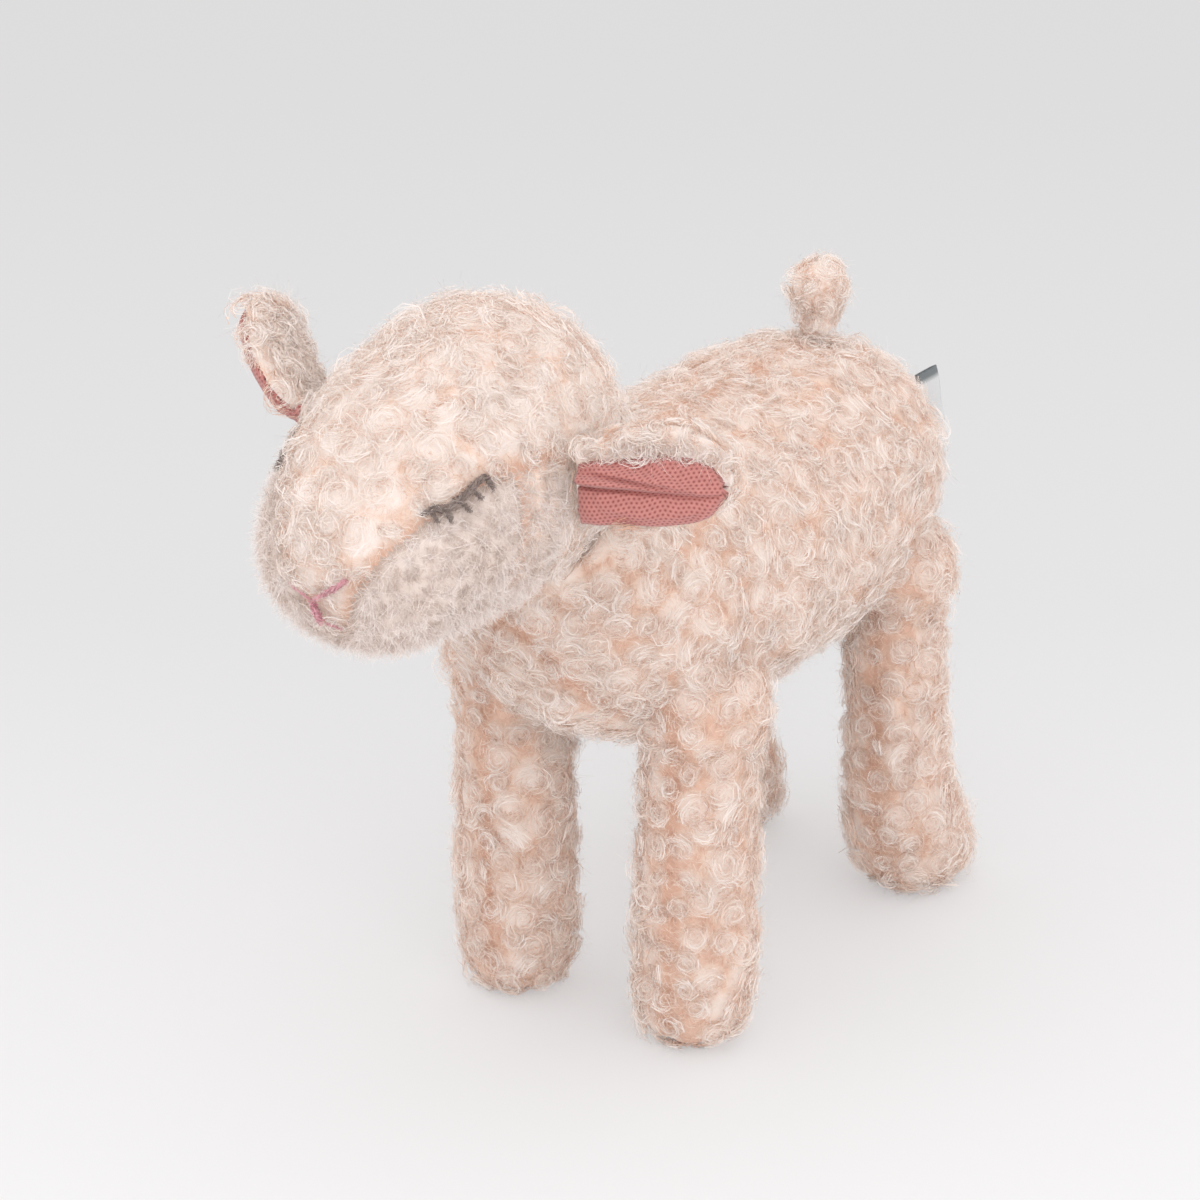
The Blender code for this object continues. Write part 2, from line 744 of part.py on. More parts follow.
def build_label():
    azimuth = math.radians(LABEL_AZIMUTH_DEG)
    out_way = Vector((math.cos(azimuth), math.sin(azimuth), 0))
    seat, normal = surface_point(BODY, Vector((0, LABEL_BEHIND, BODY_HEIGHT + LABEL_RISE)), out_way)
    hinge = seat + normal * (LABEL_THICKNESS / 2 + SEAM_GAP)
    upright = (UP_WAY - normal * normal.z).normalized()
    placing = Matrix((normal, upright, normal.cross(upright))).transposed().to_4x4()
    placing.translation = hinge + normal * (LABEL_REACH - LABEL_THICKNESS) / 2

    def block(reach, thickness, shift):
        def build(shape):
            bmesh.ops.create_cube(shape, size=1)

        mesh = mesh_from(build, "label")
        mesh.transform(Matrix.Diagonal((reach, LABEL_HEIGHT + shift, thickness, 1)))
        mesh.transform(placing @ Matrix.Translation((-shift, 0, 0)))
        return mesh

    ribbon = piece("label", block(LABEL_REACH, LABEL_THICKNESS, 0), "label", hinge)
    cut(ribbon, cutter("label fold", block(LABEL_REACH, LABEL_FOLD_GAP, LABEL_THICKNESS)))


def on_head(start, way):
    """A point for a thread's middle, just clear of the face."""
    point, normal = surface_point(HEAD, start, way)
    return point + normal * (THREAD_RADIUS + SEAM_GAP)


def thread(points):
    """A round thread through the points, as a closed mesh."""
    curve = bpy.data.curves.new("thread", "CURVE")
    curve.dimensions = "3D"
    curve.bevel_depth = THREAD_RADIUS
    curve.bevel_resolution = 0
    curve.use_fill_caps = True
    spline = curve.splines.new("POLY")
    spline.points.add(len(points) - 1)
    for spot, point in zip(spline.points, points):
        spot.co = (*point, 1)
    route = add_object("thread", curve, CUTTERS)
    mesh = evaluated(route)
    bpy.data.objects.remove(route, do_unlink=True)
    shape = bmesh.new()
    shape.from_mesh(mesh)
    bmesh.ops.remove_doubles(shape, verts=shape.verts, dist=WELD_DISTANCE)
    bmesh.ops.recalc_face_normals(shape, faces=shape.faces)
    shape.to_mesh(mesh)
    shape.free()
    return mesh


def smooth_path(shares, count):
    """Points on a smooth curve through a list of pairs."""
    spots = [Vector((*share, 0)) for share in shares]
    spots = [spots[0] * 2 - spots[1], *spots, spots[-1] * 2 - spots[-2]]
    path = []
    for number in range(count):
        place = number / (count - 1) * (len(shares) - 1)
        start = min(int(place), len(shares) - 2)
        step = place - start
        before, first, second, after = spots[start : start + 4]
        bend = before * 2 - first * 5 + second * 4 - after
        twist = (first - second) * 3 + after - before
        path.append(first + ((second - before) * step + bend * step**2 + twist * step**3) / 2)
    return path


def build_eye(side):
    turn = SIDES[side]

    def spot(along, rise):
        start = SKULL + FACE_WAY * along * FACE_LENGTH + CROWN_WAY * rise * SKULL_RADIUS
        return on_head(start, LEFT_WAY * turn)

    path = smooth_path(EYE_ARC_SHARES, EYE_POINTS)
    threads = [thread([spot(place.x, place.y) for place in path])]
    for number in range(LASHES):
        place = path[1 + number * (EYE_POINTS - 2) // (LASHES - 1) - (number == LASHES - 1)]
        drop = LASH_LENGTH / SKULL_RADIUS
        lean = (number / (LASHES - 1) - LASH_UPRIGHT_SHARE) * LASH_LENGTH / FACE_LENGTH
        ends = [(place.x - lean * step, place.y - drop * step) for step in LASH_STEP_SHARES]
        threads.append(thread([spot(*end) for end in ends]))
    whole = joined(f"eye {side} threads", *threads)
    piece(f"eye_{side}_stitches", whole.data.copy(), "lash")


def build_nose():
    rise = math.radians(NOSE_RISE_DEG)
    nose_way = FACE_WAY * math.cos(rise) + CROWN_WAY * math.sin(rise)
    middle, normal = surface_point(HEAD, SKULL, nose_way)
    up = (CROWN_WAY - normal * CROWN_WAY.dot(normal)).normalized()

    def stitch(*corners):
        steps = []
        for start, end in zip(corners, corners[1:]):
            steps += [start.lerp(end, number / NOSE_STEPS) for number in range(NOSE_STEPS)]
        places = [middle + LEFT_WAY * step.x + up * step.y for step in (*steps, corners[-1])]
        return thread([on_head(SKULL, place - SKULL) for place in places])

    spread = math.radians(NOSE_SPREAD_DEG)
    top = Vector()
    low = Vector((0, -NOSE_STEM, 0))
    arms = [Vector((turn * math.sin(spread), math.cos(spread), 0)) for turn in SIDES.values()]
    lips = [Vector((arm.x, -arm.y, 0)) for arm in arms]
    over = Vector((0, THREAD_RADIUS / 2, 0))
    threads = (
        stitch(arms[0] * NOSE_ARM, top, arms[1] * NOSE_ARM),
        stitch(top + over, low - over),
        stitch(low + lips[0] * MOUTH_ARM, low, low + lips[1] * MOUTH_ARM),
    )
    whole = joined("nose threads", *threads)
    piece("nose_stitches", whole.data.copy(), "nose")


build_body()
build_head()
build_neck()
for side_name in SIDES:
    for row_name in ROWS:
        build_leg(side_name, row_name)
    build_ear(side_name)
    build_eye(side_name)
build_tail()
build_label()
build_nose()


def stand_on_origin():
    """Moves the whole toy so that its box stands over the origin."""
    bpy.context.view_layer.update()
    points = [obj.matrix_world @ vertex.co for obj in SHEEP.objects for vertex in obj.data.vertices]
    middle = [(min(row) + max(row)) / 2 for row in list(zip(*points))[:2]]
    toy = add_object("toy_middle", None, SHEEP)
    for obj in (*SHEEP.objects, *CUTTERS.objects):
        if obj is not toy:
            obj.parent = toy
    toy.location = (-middle[0], -middle[1], 0)


stand_on_origin()
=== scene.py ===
"""Looks of the plush sheep: curly cloth over soft filling, ear linings, thread and label.

Metres, +Z up. The sheep faces -Y and its left side is +X. A pair of shares that belongs to
strands, hairs or fibres is the least and the most of what is drawn for each of them.
"""

import itertools
import math

import bmesh
import bpy
import numpy as np
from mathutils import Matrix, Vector
from mathutils.bvhtree import BVHTree
from mathutils.kdtree import KDTree
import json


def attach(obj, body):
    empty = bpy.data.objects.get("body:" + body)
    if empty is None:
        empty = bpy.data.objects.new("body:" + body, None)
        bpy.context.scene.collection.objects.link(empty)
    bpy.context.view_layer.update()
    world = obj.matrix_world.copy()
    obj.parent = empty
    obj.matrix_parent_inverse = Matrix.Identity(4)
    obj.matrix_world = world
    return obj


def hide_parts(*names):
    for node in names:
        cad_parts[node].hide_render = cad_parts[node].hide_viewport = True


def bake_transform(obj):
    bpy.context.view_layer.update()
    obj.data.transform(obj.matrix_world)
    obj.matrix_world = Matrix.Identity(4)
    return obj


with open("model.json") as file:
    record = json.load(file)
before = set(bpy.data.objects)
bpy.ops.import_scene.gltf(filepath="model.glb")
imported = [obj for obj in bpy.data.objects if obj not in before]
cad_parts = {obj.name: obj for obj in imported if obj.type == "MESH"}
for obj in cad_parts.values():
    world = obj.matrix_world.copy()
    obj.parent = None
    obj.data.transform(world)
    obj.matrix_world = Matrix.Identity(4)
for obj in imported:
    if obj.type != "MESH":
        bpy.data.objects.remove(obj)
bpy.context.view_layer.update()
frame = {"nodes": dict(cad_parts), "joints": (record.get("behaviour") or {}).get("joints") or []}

JOINTS = {joint["name"]: joint for joint in frame["joints"]}
SKULL = np.array(JOINTS["head_nod"]["pos_m"])
NECK_WAY = -np.array(JOINTS["neck_turn"]["axis"])
SIDES = ("left", "right")
LEGS = [f"leg_{row}_{side}" for row in ("front", "hind") for side in SIDES]
SEEDS = {
    "torso": 11,
    "head": 12,
    "threads": 13,
    "ear_left": 14,
    "ear_right": 15,
    "tail": 16,
    "neck": 17,
    "cloth": 1,
}

# Lengths that only keep points apart, or tell nothing from something
WELD_DISTANCE = 0.00001
NO_LENGTH = 1e-12
NO_STEP = 1e-9
FAR_AWAY = 1.0

# Maps: the width of a strand's strip, and the length that the full map of a sheet shows
MAP_STRIP = 0.01
MAP_SPAN = 0.050
MAP_MIDDLE = 0.5


# Meshes and sums that several pieces share


def unit(vectors):
    return vectors / np.maximum(np.linalg.norm(vectors, axis=-1, keepdims=True), NO_LENGTH)


def bell(distance, width):
    """A share that is one at no distance and fades out over a width."""
    return np.exp(-((distance / width) ** 2))


def triples(items, attribute):
    """An attribute of three numbers, such as a place, of every item."""
    values = np.empty(len(items) * 3)
    items.foreach_get(attribute, values)
    return values.reshape(-1, 3)


def node_corners(node):
    return triples(frame["nodes"][node].data.vertices, "co")


def joined_nodes(nodes):
    """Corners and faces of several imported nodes, and the number of the node of each face."""
    corners, faces, owners = [], [], []
    for number, node in enumerate(nodes):
        start = len(corners)
        polygons = frame["nodes"][node].data.polygons
        faces += [tuple(start + corner for corner in face.vertices) for face in polygons]
        owners += [number] * len(polygons)
        corners += node_corners(node).tolist()
    return corners, faces, owners


def grid_faces(columns, rows):
    """Faces between the points of a grid that is listed column by column."""
    first = (np.arange(columns - 1)[:, None] * rows + np.arange(rows - 1)[None, :]).ravel()
    return np.stack((first, first + rows, first + rows + 1, first + 1), 1)


def add_object(name, mesh):
    made = bpy.data.objects.new(name, mesh)
    bpy.context.scene.collection.objects.link(made)
    return made


def add_piece(name, corners, faces, uvs, smooth=False):
    """A piece from arrays, where every face has the same number of corners."""
    mesh = bpy.data.meshes.new(name)
    mesh.vertices.add(len(corners))
    mesh.vertices.foreach_set("co", corners.astype(np.float32).ravel())
    mesh.loops.add(faces.size)
    mesh.loops.foreach_set("vertex_index", faces.astype(np.int32).ravel())
    mesh.polygons.add(len(faces))
    mesh.polygons.foreach_set("loop_start", np.arange(len(faces), dtype=np.int32) * faces.shape[1])
    mesh.update(calc_edges=True)
    layer = mesh.uv_layers.new(name="OFBake")
    layer.data.foreach_set("uv", uvs[faces.ravel()].astype(np.float32).ravel())
    mesh.validate()
    if smooth:
        mesh.shade_smooth()
    return add_object(name, mesh)


def tree_of(points):
    tree = KDTree(len(points))
    for number, point in enumerate(points.tolist()):
        tree.insert(point, number)
    tree.balance()
    return tree


def distances(tree, points):
    """How far each point is from the nearest one of a tree."""
    return np.array([tree.find(point)[2] for point in points.tolist()])


def thickness_at(points, normals, faces):
    """How thick a closed form is behind each of its corners."""
    surface = BVHTree.FromPolygons(points.tolist(), faces.tolist())
    starts = points - normals * WELD_DISTANCE
    reach = [
        surface.ray_cast(Vector(start), -Vector(normal))[3]
        for start, normal in zip(starts.tolist(), normals.tolist())
    ]
    return np.array([math.inf if distance is None else distance for distance in reach])


# Skins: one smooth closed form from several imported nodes, split again by node

VOXEL = 0.0013
SWELL = 0.0005
SKIN_DEPTH = 0.0022
SKIN_SMOOTHING = 6
THIN_SHARE = 0.3


def seam_group(node):
    """Panels that are cut in one piece, so that no seam shows between them."""
    if node == "belly_gusset" or node.endswith("inner"):
        return "under"
    if node.endswith("outer") or node.startswith("body_side"):
        return node.split("_")[2]
    return node


def joined_form(name, nodes, voxel, smoothing):
    """One closed mesh round all the nodes, made by filling voxels."""
    corners, faces, _ = joined_nodes(nodes)
    mesh = bpy.data.meshes.new(name)
    mesh.from_pydata(corners, [], faces)
    mesh.update()
    welded = bmesh.new()
    welded.from_mesh(mesh)
    bmesh.ops.remove_doubles(welded, verts=welded.verts, dist=WELD_DISTANCE)
    bmesh.ops.recalc_face_normals(welded, faces=welded.faces)
    welded.to_mesh(mesh)
    welded.free()
    moved = triples(mesh.vertices, "co") + triples(mesh.vertex_normals, "vector") * SWELL
    mesh.vertices.foreach_set("co", moved.astype(np.float32).ravel())
    form = add_object(name, mesh)
    remesh = form.modifiers.new("remesh", "REMESH")
    remesh.mode = "VOXEL"
    remesh.voxel_size = voxel
    smooth = form.modifiers.new("smooth", "SMOOTH")
    smooth.iterations = smoothing
    graph = bpy.context.evaluated_depsgraph_get()
    made = bpy.data.meshes.new_from_object(form.evaluated_get(graph))
    bpy.data.objects.remove(form)
    return largest_part(made)


def largest_part(mesh):
    """The mesh without its smaller loose parts, such as walls of hollows inside."""
    shape = bmesh.new()
    shape.from_mesh(mesh)
    left = set(shape.verts)
    parts = []
    while left:
        part = {left.pop()}
        edge = list(part)
        while edge:
            vertex = edge.pop()
            for link in vertex.link_edges:
                other = link.other_vert(vertex)
                if other in left:
                    left.remove(other)
                    part.add(other)
                    edge.append(other)
        parts.append(part)
    parts.sort(key=len)
    spare = [vertex for part in parts[:-1] for vertex in part]
    bmesh.ops.delete(shape, geom=spare, context="VERTS")
    shape.to_mesh(mesh)
    shape.free()
    return mesh


class Skin:
    """A smooth form, the node that each of its faces belongs to, and its seams."""

    def __init__(self, name, panels, fillings, depth=SKIN_DEPTH, voxel=VOXEL, smoothing=SKIN_SMOOTHING):
        self.name = name
        self.panels = panels
        mesh = joined_form(name, [*panels, *fillings], voxel, smoothing)
        outer = triples(mesh.vertices, "co")
        self.normals = triples(mesh.vertex_normals, "vector")
        self.faces = np.array([tuple(face.vertices) for face in mesh.polygons])
        bpy.data.meshes.remove(mesh)
        most = THIN_SHARE * thickness_at(outer, self.normals, self.faces)
        inward = np.minimum((depth(outer) if callable(depth) else depth) + SWELL, most)
        self.corners = outer - self.normals * inward[:, None]
        self.middles = self.corners[self.faces].mean(1)
        self.everything = np.arange(len(self.faces))
        self.owner = self.nearest_panels()
        self.seams = self.seam_points()
        self.seam_tree = tree_of(self.seams)
        self.surface = BVHTree.FromPolygons(self.corners.tolist(), self.faces.tolist())

    def nearest_panels(self):
        """The number of the panel that is nearest to each face."""
        corners, faces, owners = joined_nodes(self.panels)
        tree = BVHTree.FromPolygons(corners, faces)
        return np.array([owners[tree.find_nearest(point)[2]] for point in self.middles.tolist()])

    def seam_points(self):
        """Middles of the edges between faces of panels that are sewn together."""
        groups = sorted({seam_group(panel) for panel in self.panels})
        group = np.array([groups.index(seam_group(panel)) for panel in self.panels])[self.owner]
        met = {}
        found = []
        for number, face in enumerate(self.faces.tolist()):
            for start, end in zip(face, face[1:] + face[:1]):
                edge = (min(start, end), max(start, end))
                if edge in met and met[edge] != group[number]:
                    found.append((self.corners[start] + self.corners[end]) / 2)
                met[edge] = group[number]
        return np.array(found).reshape(-1, 3)

    def seam_distance(self, points):
        if len(self.seams) == 0:
            return np.full(len(points), FAR_AWAY)
        return distances(self.seam_tree, points)

    def laid(self, points, lift):
        """Points moved onto the skin and lifted off it, with the ways out there."""
        found = [self.surface.find_nearest(point)[:2] for point in points.tolist()]
        ways = np.array([tuple(normal) for _, normal in found])
        return np.array([tuple(place) for place, _ in found]) + ways * lift, ways


# Places on a skin

TRIES_PER_PLACE = 14
NEIGHBOURS = list(itertools.product((-1, 0, 1), repeat=3))


def spread(skin, faces, spacing, random, tries_per_place=1):
    """Places on some faces at a mean spacing, with the ways out and the faces there."""
    corners = skin.corners[skin.faces[faces]]
    normals = skin.normals[skin.faces[faces]]
    diagonals = np.cross(corners[:, 2] - corners[:, 0], corners[:, 3] - corners[:, 1])
    area = np.linalg.norm(diagonals, axis=1) / 2
    tries = int(area.sum() / spacing**2 * tries_per_place)
    chosen = random.choice(len(faces), tries, p=area / area.sum())
    across, along = random.random((2, tries, 1))
    weights = ((1 - across) * (1 - along), across * (1 - along), across * along, (1 - across) * along)
    points = sum(corners[chosen, number] * weight for number, weight in enumerate(weights))
    ways = unit(sum(normals[chosen, number] * weight for number, weight in enumerate(weights)))
    return points, ways, faces[chosen]


def spread_apart(skin, faces, spacing, random):
    """Places on some faces, no two closer than the spacing."""
    points, ways, found = spread(skin, faces, spacing, random, TRIES_PER_PLACE)
    cells = {}
    kept = []
    for number, point in enumerate(points):
        x, y, z = (point // spacing).astype(int).tolist()
        near = [
            other
            for right, back, up in NEIGHBOURS
            for other in cells.get((x + right, y + back, z + up), ())
        ]
        if all(np.sum((points[other] - point) ** 2) >= spacing**2 for other in near):
            cells.setdefault((x, y, z), []).append(number)
            kept.append(number)
    return points[kept], ways[kept], found[kept]


def side_ways(normals, random):
    """Two ways along the surface at each normal, turned at random."""
    guess = unit(random.normal(size=normals.shape))
    first = unit(np.cross(normals, guess))
    return first, np.cross(normals, first)


# Places of the embroidered lines on the left eye, the nose and the mouth

LINE_SMOOTHING = 3
LID = np.array(
    [
        (0.016248, -0.111027, 0.1792),
        (0.017748, -0.109227, 0.1799),
        (0.020948, -0.106127, 0.1795),
        (0.022348, -0.102327, 0.1812),
        (0.023248, -0.097627, 0.1838),
        (0.024148, -0.095127, 0.1844),
    ]
)
RIGHT_EYE_STEP = (-0.0010, 0.0075, -0.0020)
NOSE_FOOT = (-0.005052, -0.123927, 0.1568)
MOUTH_BEND = (-0.004152, -0.122527, 0.1511)
NOSE_LINES = (
    ((-0.012352, -0.124027, 0.1602), NOSE_FOOT),
    (NOSE_FOOT, (0.005048, -0.124327, 0.1643)),
    (NOSE_FOOT, MOUTH_BEND),
    (MOUTH_BEND, (0.001548, -0.121827, 0.1503)),
)


def mirrored(points):
    return points * (-1, 1, 1) + (2 * SKULL[0], 0, 0)


def along_line(points, count):
    """Points at even steps along a line of points, rounded between them."""
    points = np.array(points)
    lengths = np.concatenate(((0,), np.cumsum(np.linalg.norm(np.diff(points, axis=0), axis=1))))
    places = np.linspace(0, lengths[-1], count)
    line = np.stack([np.interp(places, lengths, points[:, axis]) for axis in range(3)], 1)
    for _ in range(LINE_SMOOTHING):
        line[1:-1] = (line[:-2] + line[2:] + 2 * line[1:-1]) / 4
    return line


LID_PLACES = 24
NOSE_PLACES = 8
CLEAR_LINES = [
    *(along_line(lid, LID_PLACES) for lid in (LID, mirrored(LID))),
    *(along_line(line, NOSE_PLACES) for line in NOSE_LINES),
]
THREAD_TREE = tree_of(np.vstack(CLEAR_LINES))
THREAD_CLEAR = 0.0021

# Seams: how deep and wide the furrow between two panels is, and where curls start to shrink
SEAM_DEPTH = 0.0011
SEAM_WIDTH = 0.0016
SEAM_CLEAR = 0.0018

# Curls: their size, and how they shrink beside a seam, as a least share and what room adds to it
CURL_RADIUS = 0.0042
CURL_SPACING = 0.0056
CURL_HEIGHT = 0.0031
CURL_SIZE_SHARES = (0.75, 1.2)
SEAM_RADIUS_SHARES = (0.72, 0.28)
SEAM_HEIGHT_SHARES = (0.55, 0.45)
HOLLOW_SHARES = (0.05, 0.95)
LEAN_DEG = 24.0
MOST_LEAN_DEG = 48.0
DOME_CURLS = 3
DOME_REACH_SHARE = 1.15

# Shades and tints: a shade is painted shade, 0 deep in the wool where its crevices lie in shade and 1 at
# its tips
SHADE_LIMITS = (0.02, 0.98)
# Painted shade: the legs' wool is drawn darker, and the head's curls and fluff get less of it
LEG_SHADE_DROP = 0.12
CURL_SHADE_RISE = {"head": 0.05}
FLUFF_SHADE_RISE = {"head": 0.10}
FRIZZ = {"head": 0.00027, "torso": 0.00015, "small": 0.00018}


class Curls:
    """Places, sizes and leanings of the curls on some faces of a skin."""

    def __init__(self, skin, faces, random, scale=1.0, bare=None, closer=1.0):
        self.scale = scale
        self.frizz = FRIZZ.get(skin.name, FRIZZ["small"])
        middles, normals, faces = spread_apart(skin, faces, CURL_SPACING * scale * closer, random)
        if bare is not None:
            shown = ~bare(middles, normals)
            middles, normals, faces = middles[shown], normals[shown], faces[shown]
        self.middles, self.normals, self.faces = middles, normals, faces
        count = len(middles)
        size = random.uniform(*CURL_SIZE_SHARES, count) * scale
        clear = np.minimum(skin.seam_distance(middles), distances(THREAD_TREE, middles) - SEAM_WIDTH)
        room = np.clip((clear - SEAM_CLEAR) / (CURL_RADIUS * scale), 0.0, 1.0)
        least, more = SEAM_RADIUS_SHARES
        self.radius = CURL_RADIUS * size * (least + more * room)
        least, more = SEAM_HEIGHT_SHARES
        self.height = CURL_HEIGHT * size * (least + more * room)
        self.turn = random.choice((-1.0, 1.0), count)
        self.tint = random.random(count)
        self.hollow = random.uniform(*HOLLOW_SHARES, count)
        lean = np.abs(random.normal(0, LEAN_DEG, count)).clip(0, MOST_LEAN_DEG)
        lean = np.radians(lean)[:, None]
        first, _ = side_ways(normals, random)
        self.axis = normals * np.cos(lean) + first * np.sin(lean)
        on_leg = [skin.panels[number].startswith("leg_") for number in skin.owner[faces]]
        self.shade_drop = LEG_SHADE_DROP * np.array(on_leg, float)
        self.shade_rise = CURL_SHADE_RISE.get(skin.name, 0.0)
        self.tree = tree_of(middles)

    def dome(self, points):
        """How high the cloth rises under the curls at some points."""
        rise = np.zeros(len(points))
        for number, point in enumerate(points.tolist()):
            for _, curl, distance in self.tree.find_n(point, DOME_CURLS):
                share = 1 - (distance / (self.radius[curl] * DOME_REACH_SHARE)) ** 2
                if share > 0:
                    rise[number] = max(rise[number], share**0.5 * self.height[curl])
        return rise


def mixed_tints(tints, share, random):
    """Tints that keep a share of what they have in common."""
    return np.clip(tints * share + random.random(len(tints)) * (1 - share), 0, 1)


# Strands of the curls: flat ribbons that wind up from the skin round a leaning middle.
# Reach and spread are shares of a curl's radius, and rise, bow and shade of its height.
STRANDS = 84
STRAND_POINTS = 4
STRAND_WIDTH = 0.00017
STRAND_WIDTH_SHARES = (0.6, 1.4)
STRAND_SWEEP_DEG = (40, 170)
STRAND_AREA_SHARES = (0.02, 1.35)
STRAND_END_SHARES = (0.45, 1.0)
STRAND_RISE_SHARES = (0.55, 1.10)
STRAND_BOW_SHARE = 0.30
STRAND_BOW_SHARES = (-0.5, 2.0)
STRAND_SPREAD_SHARE = 0.14
STRAND_SHADE_SHARE = 1.05
CURL_EDGE_SHARE = 1.22
CURL_TINT_SHARE = 0.35
CURL_ROUND_SHARE = 0.8
HOLLOW_WIDTH_SHARE = 0.36
HOLLOW_SHADE_SHARE = 0.55


def curl_strands(curls, chosen, random):
    """Strands of the chosen curls: lines, ways out, widths, shades and tints."""
    count = len(chosen) * STRANDS
    curl = np.repeat(chosen, STRANDS)
    along = np.linspace(0, 1, STRAND_POINTS)[None, :]

    def each(shares):
        return random.uniform(*shares, (count, 1))

    axis, radius, height = curls.axis[curl], curls.radius[curl][:, None], curls.height[curl][:, None]
    first, second = side_ways(axis, random)
    sweep = np.radians(each(STRAND_SWEEP_DEG)) * curls.turn[curl][:, None]
    angle = (each((0, math.tau)) + sweep * along)[:, :, None]
    outer = np.sqrt(each(STRAND_AREA_SHARES))
    inner = outer * each(STRAND_END_SHARES)
    share = outer + (inner - outer) * along
    hollow = curls.hollow[curl][:, None] * bell(share, HOLLOW_WIDTH_SHARE)
    rise = np.sqrt(np.clip(1 - (share / CURL_EDGE_SHARE) ** 2, 0, 1)) * each(STRAND_RISE_SHARES)
    rise = rise * (1 - hollow) - STRAND_BOW_SHARE * (along - 0.5) ** 2 * each(STRAND_BOW_SHARES)
    middle = curls.middles[curl] + random.normal(0, STRAND_SPREAD_SHARE, (count, 3)) * radius
    ring = first[:, None] * np.cos(angle) + second[:, None] * np.sin(angle)
    lines = middle[:, None] + ring * (share * radius)[:, :, None]
    lines += axis[:, None] * (rise * height)[:, :, None]
    lines += random.normal(0, curls.frizz, lines.shape)
    outward = unit(ring * share[:, :, None] * CURL_ROUND_SHARE + axis[:, None])
    # Painted shade: strands are darker the lower they lie and in a curl's hollow middle, darker on the
    # legs and lighter on the head
    above = np.einsum("ijk,ik->ij", lines - curls.middles[curl][:, None], curls.normals[curl])
    shades = above / (height * STRAND_SHADE_SHARE) - hollow * HOLLOW_SHADE_SHARE
    shades = np.clip(shades - curls.shade_drop[curl][:, None] + curls.shade_rise, *SHADE_LIMITS)
    tints = mixed_tints(curls.tint[curl], CURL_TINT_SHARE, random)
    widths = STRAND_WIDTH * random.uniform(*STRAND_WIDTH_SHARES, count)
    return lines, outward, widths, shades, tints


# Loose hairs that stand out from the curls
HAIRS_PER_CURL = 36
HAIR_POINTS = 3
HAIR_WIDTH = 0.00006
HAIR_WIDTH_SHARES = (0.7, 1.4)
HAIR_LENGTH = 0.0044
HAIR_LENGTH_SHARES = (0.4, 1.2)
HAIR_ROOT_SHARE = 0.8
HAIR_UP_SHARES = (0.15, 1.0)
HAIR_SIDE_SHARE = 0.9
HAIR_DROOP_SHARE = 0.4
HAIR_BEND_SHARE = 0.55
HAIR_SHADE = 0.96


def loose_hairs(curls, chosen, random):
    """Fine single hairs that leave the curls and bend over."""
    count = len(chosen) * HAIRS_PER_CURL
    curl = np.repeat(chosen, HAIRS_PER_CURL)
    normals, radius = curls.normals[curl], curls.radius[curl][:, None]
    first, second = side_ways(normals, random)
    spread_out = np.sqrt(random.random((count, 1))) * radius
    rise = np.sqrt(np.clip(1 - (spread_out / radius) ** 2, 0, 1)) * HAIR_ROOT_SHARE
    start = curls.middles[curl] + first * spread_out + normals * curls.height[curl][:, None] * rise
    way = unit(normals * random.uniform(*HAIR_UP_SHARES, (count, 1)) + second * HAIR_SIDE_SHARE)
    bend = unit(random.normal(size=(count, 3)) - normals * HAIR_DROOP_SHARE)
    length = HAIR_LENGTH * random.uniform(*HAIR_LENGTH_SHARES, (count, 1))
    along = np.linspace(0, 1, HAIR_POINTS)[None, :, None]
    lines = start[:, None] + way[:, None] * (length[:, None] * along)
    lines += bend[:, None] * (length[:, None] * along**2 * HAIR_BEND_SHARE)
    shades = np.full((count, HAIR_POINTS), HAIR_SHADE)
    tints = random.random(count)
    widths = HAIR_WIDTH * random.uniform(*HAIR_WIDTH_SHARES, count)
    outward = unit(random.normal(size=lines.shape))
    return lines, outward, widths, shades, tints


# Fluff: short fibres between the curls, and on a share of them. Their rise under a curl is
# a share of the curl's, and their clear height and lift are shares of a curl's height.
FLUFF_POINTS = 3
FLUFF_SPACING = 0.00076
FLUFF_WIDTH = 0.00015
FLUFF_WIDTH_SHARES = (0.7, 1.3)
FLUFF_LENGTH = 0.0030
FLUFF_LENGTH_SHARES = (0.5, 1.2)
FLUFF_CLEAR_SHARE = 0.8
FLUFF_ON_CURLS_SHARE = 0.45
FLUFF_RISE_SHARE = 0.38
FLUFF_LIFT_SHARES = (0.0, 0.25)
FLUFF_SWAY_SHARES = (-1, 1)
FLUFF_ARCH_SHARES = (0.2, 1.0)
FLUFF_SHADE_SHARE = 1.1
FLUFF_SHADE_SHARES = (-0.15, 0.18)


